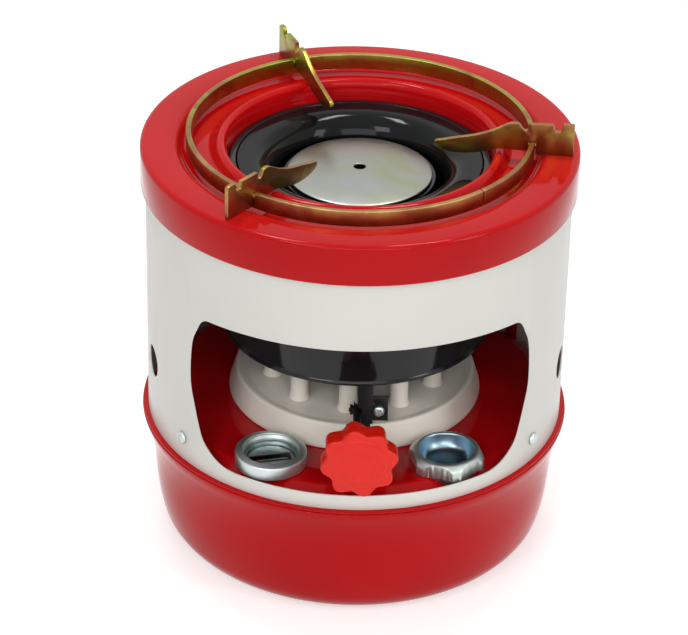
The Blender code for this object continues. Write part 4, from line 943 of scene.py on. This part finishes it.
def makeGuide():
    low, high = guide["span"]
    piece = outlined("rackGuide", guide["plan"], (0, 0, high - low), *flat, (0, 0, low))
    cutAway(piece, block("relief", *guide["relief"]))
    for hole in ("shaft", "screw", "spare"):
        x, z, radius, depth = guide[hole]
        cutAway(piece, rod("hole", radius, (x, guide["holeFace"], z), (x, depth, z)))
    roundEdges(piece, *guide["edges"])
    finishPiece(piece, "base", blackLacquer, "black_enamel", "rack_guide")
    screw = panScrew("guideScrew", crossHead, True)
    x, z = guide["screw"][:2]
    applyPlace(screw, (x, crossHead["seat"], z), (90, crossHead["turn"], 0))
    finishPiece(screw, "base", satinPlate, "zinc_plate", "guide_screw")


# Knob

knob = {
    "front": -129.3,
    "depth": 13.1,
    "radius": 22.85,
    "lobes": 8,
    "lobeDepth": 3.5,
    "lobeSharpness": 0.85,
    "phase": 10,
    "steps": 192,
    "edges": (1.7, 4, 60),
    "disc": [
        (pole, 1.15), (7, 1.1), (11, 0.95), (14, 0.7), (15.6, 0.4), (16.3, 0), (16.5, -0.5), (16.5, -1.5),
        (pole, -1.5),
    ],
    "discSides": 128,
    "boreRadius": 2.8,
    "boreTop": -3.5,
}  # fmt: skip


def knobOutline():
    for index in range(knob["steps"]):
        degrees = 360 * index / knob["steps"]
        swell = (1 + math.cos(math.radians((degrees - knob["phase"]) * knob["lobes"]))) / 2
        radius = knob["radius"] - knob["lobeDepth"] * (1 - swell ** knob["lobeSharpness"])
        yield polar(radius, degrees)[:2]


def makeKnob():
    # Made lying flat with its front up, then stood up to face the front.
    deep = -knob["depth"]
    piece = outlined("knobBody", knobOutline(), (0, 0, deep), *flat)
    roundEdges(piece, *knob["edges"])
    cutAway(piece, rod("bore", knob["boreRadius"], (0, 0, deep - 1), (0, 0, knob["boreTop"])))
    piece = joined("knobBody", piece, turned("knobDisc", knob["disc"], knob["discSides"], closed=False))
    x, z = guide["shaft"][:2]
    applyPlace(piece, (x, knob["front"], z), (90, 0, 0))
    finishPiece(piece, "control", knobPlastic, "knob_plastic", "knob", smooth=35)


makeGuide()
makeKnob()
print("control made")


# Filler neck and cap

neck = {
    "sides": 96,
    "rings": [
        (17.6, 98.2), (17.9, 98.3), (18.3, 98.25), (18.5, 98), (18.5, 97.2), (18.1, 96.7), (18.5, 96.2), (18.5, 95.2),
        (18.1, 94.7), (18.5, 94.2), (18.55, 92.7), (19.1, 92.55), (19.2, 92.2), (19.15, 91.85), (18.55, 91.85),
        (18.55, 78.1), (17.6, 78.1),
    ],
}  # fmt: skip
cap = {
    "sides": 192,
    "recess": [
        (pole, 92.2), (8, 92.2), (10.6, 92.3), (12.3, 92.8), (13.7, 93.9), (14.9, 95.8), (15.8, 98.3), (16.4, 100.6),
    ],
    "rim": [(16.4, 100.6), (16.75, 101.1), (17.4, 101.28), (18.6, 101.1), (19.6, 100.6)],
    "skirt": [(21.4, 98.9), (22.3, 97.7), (22.5, 96.9), (22.5, 91.9), (pole, 91.9)],
    "flutes": {"count": 6, "firstAngle": 13, "radius": 64.3},
    "fluteRadius": 44.6,
    "fluteSpan": (80, 110),
    "fluteSides": 160,
    "edges": (0.35, 3, 28),
    "wall": 0.8,
    "base": 91.95,  # faces below this are its closed base
    "recessReach": 16.6,  # faces inside this and above the floor are the recess
    "recessFloor": 92.1,
}  # fmt: skip


def makeFiller():
    place = tankTop["fillerPlace"]
    piece = turned("fillerNeck", neck["rings"], neck["sides"])
    applyPlace(piece, place)
    finishPiece(piece, "base", zincPlate, "zinc_plate", "filler_neck")
    # The cap's solid is cut by the flutes, then its base is opened and a wall given to what is left.
    path = smoothPath(cap["recess"], 3)[:-1] + smoothPath(cap["rim"], 3) + cap["skirt"]
    piece = turned("fillerCap", path, cap["sides"], closed=False)
    for spot, _ in around(cap["flutes"]):
        drillDown(piece, cap["fluteRadius"], spot, *cap["fluteSpan"], cap["fluteSides"])
    roundEdges(piece, *cap["edges"])
    editOnly(piece, "FACE", lambda face: face.center.z < cap["base"] * mm and face.normal.z < -0.9)
    bpy.ops.mesh.delete(type="FACE")
    objectMode()
    modify(piece, "SOLIDIFY", thickness=cap["wall"] * mm, offset=-1)
    reach, floor = cap["recessReach"] * mm, cap["recessFloor"] * mm
    recess = [face.center.xy.length < reach and face.center.z > floor for face in piece.data.polygons]
    applyPlace(piece, place)
    finishPiece(piece, "filler_cap", satinPlate, "zinc_plate", "filler_cap", smooth=35)
    # Painted shade: the faces in the recess take the darker, bluer plating.
    piece.data.materials.append(shadedBluePlate)
    for face, inside in zip(piece.data.polygons, recess):
        face.material_index = 1 if inside else 0


# Gauge

gauge = {
    "sides": 128,
    "turn": 10.6,
    "bezel": [
        (21.3, 92.12), (21.3, 98.9), (21.15, 99.5), (20.8, 99.85), (20.2, 100.05), (17.9, 100.95), (17.3, 101.1),
        (16.9, 100.9), (16.7, 100.4), (16.95, 99.4), (16.6, 99), (16.95, 98.6), (16.6, 98.2), (16.95, 97.8),
        (16.6, 97.4), (16.6, 93.3), (20.3, 93.3), (20.3, 92.12),
    ],
    "glass": [(pole, 96.75), (15.2, 96.7), (15.9, 96.4), (16.05, 96), (15.9, 95.45), (pole, 95.4)],
    "glassSides": 96,
    "cup": [
        (14.7, 95), (16.1, 95), (16.1, 92.6), (20, 92.6), (20, 91.8), (16.1, 91.8), (16.1, 79), (13.5, 79),
        (13.5, 87.2), (14.7, 87.2),
    ],
    "relief": ((-11, -18, 78), (11, 18, 86)),
    "spindleHole": 1.3,
    "spindleReach": 18,
    "dial": [(14.25, 87.6), (14.25, 93, 0.8), (pole, 93)],
    "dialSheet": 0.6,
    "dialEdges": (0.12, 2, 50),
    "slot": (24.5, 8, 4),
    "slotCorner": 1,
    "slotStart": (0, 1.6, 91),
    "drumLevel": 83.5,
    "drumRadius": 8.2,
    "drumHalf": 10.5,
    "drumEdge": 0.3,
    "drumSides": 120,
    "line": (14, 20),  # degrees from the top, towards the back
    "redLean": (5, 50),
    "redEnd": 4.4,
}  # fmt: skip


def makeGauge():
    place, turn = tankTop["gaugePlace"], (0, 0, gauge["turn"])
    bezel = turned("gaugeBezel", gauge["bezel"], gauge["sides"])
    applyPlace(bezel, place)
    finishPiece(bezel, "base", satinPlate, "zinc_plate", "gauge_bezel", smooth=35)
    glass = turned("gaugeGlass", gauge["glass"], gauge["glassSides"], closed=False)
    applyPlace(glass, place)
    finishPiece(glass, "base", clearGlass, "clear_glass", "gauge_glass")
    path = roundPath(gauge["dial"], 1, 5)
    dial = turned("gaugeDial", wallPath(path, gauge["dialSheet"]), gauge["glassSides"])
    long, wide = gauge["slot"][0] / 2, gauge["slot"][1] / 2
    corners = [(0, wide), (long, wide), (long, -wide), (-long, -wide), (-long, wide), (0, wide)]
    corners = roundPath(corners, gauge["slotCorner"])[:-1]
    cutAway(dial, outlined("slot", corners, (0, 0, gauge["slot"][2]), *flat, gauge["slotStart"]))
    roundEdges(dial, *gauge["dialEdges"])
    applyPlace(dial, place, turn)
    finishPiece(dial, "base", satinPlate, "zinc_plate", "gauge_dial")
    cup = turned("gaugeCup", gauge["cup"], gauge["sides"])
    reach, level = gauge["spindleReach"], gauge["drumLevel"]
    cutAway(cup, block("relief", *gauge["relief"]))
    cutAway(cup, rod("spindleHole", gauge["spindleHole"], (-reach, 0, level), (reach, 0, level), sides=32))
    applyPlace(cup, place, turn)
    finishPiece(cup, "base", zincPlate, "zinc_plate", "gauge_cup", smooth=35)


def makeIndicator():
    # The drum under the dial: black, with a pale line along it and a red band at one end, turned by the float.
    radius, half, edge = gauge["drumRadius"], gauge["drumHalf"], gauge["drumEdge"]
    red = half - gauge["redEnd"]
    side = [(radius, half - edge), (radius, -red), (radius, edge - half)]
    rings = [(pole, half), (radius - edge, half), *side, (radius - edge, -half), (pole, -half)]
    piece = turned("gaugeDrum", rings, gauge["drumSides"], closed=False)
    place = (*tankTop["gaugePlace"][:2], gauge["drumLevel"])
    turn = math.radians(gauge["turn"])
    applyPlace(piece, place, (0, 90, gauge["turn"]))
    finishPiece(piece, "gauge_float", blackLacquer, "black_enamel", "gauge_barrel")
    piece.data.materials.append(markPaint)
    piece.data.materials.append(linePaint)
    along = Vector((math.cos(turn), math.sin(turn), 0))
    across = Vector((-along.y, along.x, 0))
    for face in piece.data.polygons:
        spot = face.center / mm - Vector(place)
        lean = math.degrees(math.atan2(spot.dot(across), spot.z))
        if abs(spot.dot(along)) > half - edge:
            continue
        if spot.dot(along) < -red and gauge["redLean"][0] < lean < gauge["redLean"][1]:
            face.material_index = 1
        elif gauge["line"][0] < lean < gauge["line"][1]:
            face.material_index = 2


makeFiller()
makeGauge()
makeIndicator()
print("filler and gauge made")


# Pot stand

stand = {
    "sides": 240,
    "ringInner": 99.6,
    "ringOuter": 102.8,
    "ringSpan": (258, 267.6),
    "ringEdges": (0.45, 3, 50),
    "seamAngle": -48.5,
    "seam": ((90, -0.35, 250), (110, 0.35, 275)),
    "armAngles": (-8.4, 111.6, 231.6),
    "armSheet": 2.5,
    "armEdges": (0.45, 3, 35),
    "tip": (43.5, 260.3),  # radius and height of the arm's tip; the shares below are of its reach
    "reach": (82, 20),
    "top": [
        (0, 0.1), (0.006, 0.16), (0.03, 0.2), (0.06, 0.22), (0.155, 0.32), (0.296, 0.45), (0.426, 0.65), (0.533, 0.9),
        (0.575, 0.93), (0.605, 0.91), (0.632, 0.75), (0.65, 0.71), (0.668, 0.74), (0.677, 0.92), (0.69, 0.935),
        (0.835, 0.95), (0.848, 0.93), (0.86, 0.76), (0.868, 0.74), (0.9, 0.74), (0.908, 0.77), (0.915, 0.95),
        (0.93, 1), (0.975, 1), (0.992, 0.985), (1, 0.95),
    ],
    "foot": [
        (125.5, 260.3), (109.6, 260.3), (107.6, 259.2), (103.3, 259.2), (103.3, 267.8), (99.1, 267.8), (99.1, 261.5),
    ],
    "under": [(0.46, 0.06), (0.36, -0.06), (0.22, -0.16), (0.1, -0.13), (0.03, -0.03), (0.006, 0.04)],
    "beadRadii": (99.4, 103),
    "beadLevel": 265.6,
    "beadSize": 1.3,
    "beadShape": (0.7, 0.8, 1.5),
    "beadNoise": 0.12,
    "beadGap": 0.2,
}  # fmt: skip


def makeStandRing():
    inner, outer = stand["ringInner"], stand["ringOuter"]
    path = [(outer, level) for level in stand["ringSpan"]]
    piece = turned("standRing", wallPath(path, outer - inner), stand["sides"])
    seam = block("seam", *stand["seam"])
    applyPlace(seam, turn=(0, 0, stand["seamAngle"]))
    cutAway(piece, seam)
    roundEdges(piece, *stand["ringEdges"])
    finishPiece(piece, "pot_stand", goldPlate, "gold_passivate", "stand_ring", smooth=35)


def armOutline():
    (tip, seat), (run, rise) = stand["tip"], stand["reach"]
    top, under = [[(tip + run * x, seat + rise * z) for x, z in stand[side]] for side in ("top", "under")]
    return smoothPath(top, 2) + stand["foot"] + smoothPath(under, 3)


def weldBead(place):
    # A small lump of weld, flattened and a little uneven.
    selectNone()
    bpy.ops.mesh.primitive_ico_sphere_add(subdivisions=2, radius=stand["beadSize"] * mm)
    piece = newPiece("weldBead", stand["beadShape"])
    editAll(piece)
    seed = int(abs(place[1]) * 7)
    bpy.ops.transform.vertex_random(offset=stand["beadNoise"] * mm, uniform=0.5, normal=1, seed=seed)
    objectMode()
    applyPlace(piece, place)
    return piece


def makeStandArms():
    half = stand["armSheet"] / 2
    model = outlined("standArm", armOutline(), (0, 2 * half, 0), start=(0, -half, 0))
    roundEdges(model, *stand["armEdges"])
    beads = []
    for side in (-1, 1):
        for radius in stand["beadRadii"]:
            beads.append(weldBead((radius, side * (half + stand["beadGap"]), stand["beadLevel"])))
    model = joined("standArm", model, *beads)
    for number, angle in zip("123", stand["armAngles"]):
        copy = copyOf(model, "standArm" + number, turn=(0, 0, angle))
        finishPiece(copy, "pot_stand", goldPlate, "gold_passivate", "stand_arm_" + number, smooth=35)
    bpy.data.objects.remove(model)


makeStandRing()
makeStandArms()
print("pot stand made")


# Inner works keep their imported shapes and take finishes

inner = {
    "cross_pin_1": screwSteel,
    "cross_pin_2": screwSteel,
    "cross_pin_3": screwSteel,
    "wick_carrier": screwSteel,
    "lift_rack": screwSteel,
    # Painted shade: the pinion is blackened so that it reads as the shade beside the rack bar.
    "pinion": blackSteelAndShade,
    "control_shaft": blackSteelAndShade,
    "shaft_support": zincPlate,
    "float_wire": screwSteel,
    "filler_gasket": oilRubber,
    "float": floatCork,
}
for node, material in inner.items():
    for slot in nodes[node].material_slots:
        slot.material = material


# Floor, light and camera

white = (1, 1, 1, 1)
studio = {
    "floorSize": 8,
    "floorColour": "#E4E4E2",
    "floorLift": 0.5,
    "ambient": 0.42,
    "aim": (0, 0, 0.13),
    "lamps": {
        "keyLight": ((-0.9, -1.4, 1.5), (0.6, 0.6), 8),  # place, size and power
        "fillLight": ((1.4, -1, 1), (0.4, 0.9), 6.5),
        "frontLight": ((0, -2.1, 1.15), (1.8, 0.9), 13.5),
        "leftStrip": ((-0.32, 0.3, 1.4), (0.36, 0.14), 4),
        "rightStrip": ((0.26, 0.3, 1.4), (0.36, 0.14), 4),
    },
}


def seenRays(owner):
    # One for a ray from the camera, off a mirror or through glass, and nought for any other.
    rays = addNode(owner, "LightPath").node.outputs
    seen = addNode(owner, "Math", {0: rays["Is Camera Ray"], 1: rays["Is Glossy Ray"]}, operation="MAXIMUM")
    return addNode(owner, "Math", {0: seen, 1: rays["Is Transmission Ray"]}, operation="MAXIMUM")


def makeFloor():
    # Matt white paper that the camera sees a little brighter than its light.
    selectNone()
    bpy.ops.mesh.primitive_plane_add(size=studio["floorSize"])
    floor = newPiece("studioFloor")
    paper = {"Base Color": hexColour(studio["floorColour"]), "Roughness": 1, "Specular IOR Level": 0}
    material = newMaterial("matt studio floor", {**paper, "Emission Color": white})
    lift = {0: seenRays(material), 1: studio["floorLift"]}
    addNode(material, "Math", lift, to="Emission Strength", operation="MULTIPLY")
    floor.data.materials.append(material)


def makeWorld():
    # Seen rays find white; the rest of the light from all round is dimmer.
    world = bpy.data.worlds.new("studio")
    bpy.context.scene.world = world
    world.use_nodes = True
    tree = world.node_tree
    tree.nodes.clear()
    dim = addNode(world, "Background", {"Color": white, "Strength": studio["ambient"]})
    bright = addNode(world, "Background", {"Color": white, "Strength": 1})
    room = addNode(world, "MixShader", {0: seenRays(world), 1: dim, 2: bright})
    tree.links.new(room, tree.nodes.new("ShaderNodeOutputWorld").inputs["Surface"])


def makeLamps():
    for name, (place, size, power) in studio["lamps"].items():
        light = bpy.data.lights.new(name, "AREA")
        light.shape = "RECTANGLE"
        light.size, light.size_y = size
        light.energy = power
        lamp = bpy.data.objects.new(name, light)
        bpy.context.scene.collection.objects.link(lamp)
        lamp.location = place
        lamp.rotation_euler = (Vector(studio["aim"]) - Vector(place)).to_track_quat("-Z", "Y").to_euler()


camera = {
    "place": (-0.06265, -1.58474, 1.07688),
    "aim": (-0.00730, 0.00025, 0.13801),
    "roll": 1.288,
    "lens": 158.06,
    "sensor": 36,
}


def makeCamera():
    lens = bpy.data.cameras.new("studioCamera")
    lens.lens = camera["lens"]
    lens.sensor_width = camera["sensor"]
    lens.sensor_fit = "HORIZONTAL"
    eye = bpy.data.objects.new("studioCamera", lens)
    bpy.context.scene.collection.objects.link(eye)
    look = (Vector(camera["aim"]) - Vector(camera["place"])).normalized()
    right = look.cross(Vector((0, 0, 1))).normalized()
    up = right.cross(look)
    lean = math.radians(camera["roll"])
    across = right * math.cos(lean) + up * math.sin(lean)
    above = up * math.cos(lean) - right * math.sin(lean)
    frameTurn = Matrix((across, above, -look)).transposed().to_4x4()
    eye.matrix_world = Matrix.Translation(camera["place"]) @ frameTurn
    bpy.context.scene.camera = eye


makeFloor()
makeWorld()
makeLamps()
makeCamera()
bpy.context.scene.view_settings.view_transform = "Standard"
print("studio ready")
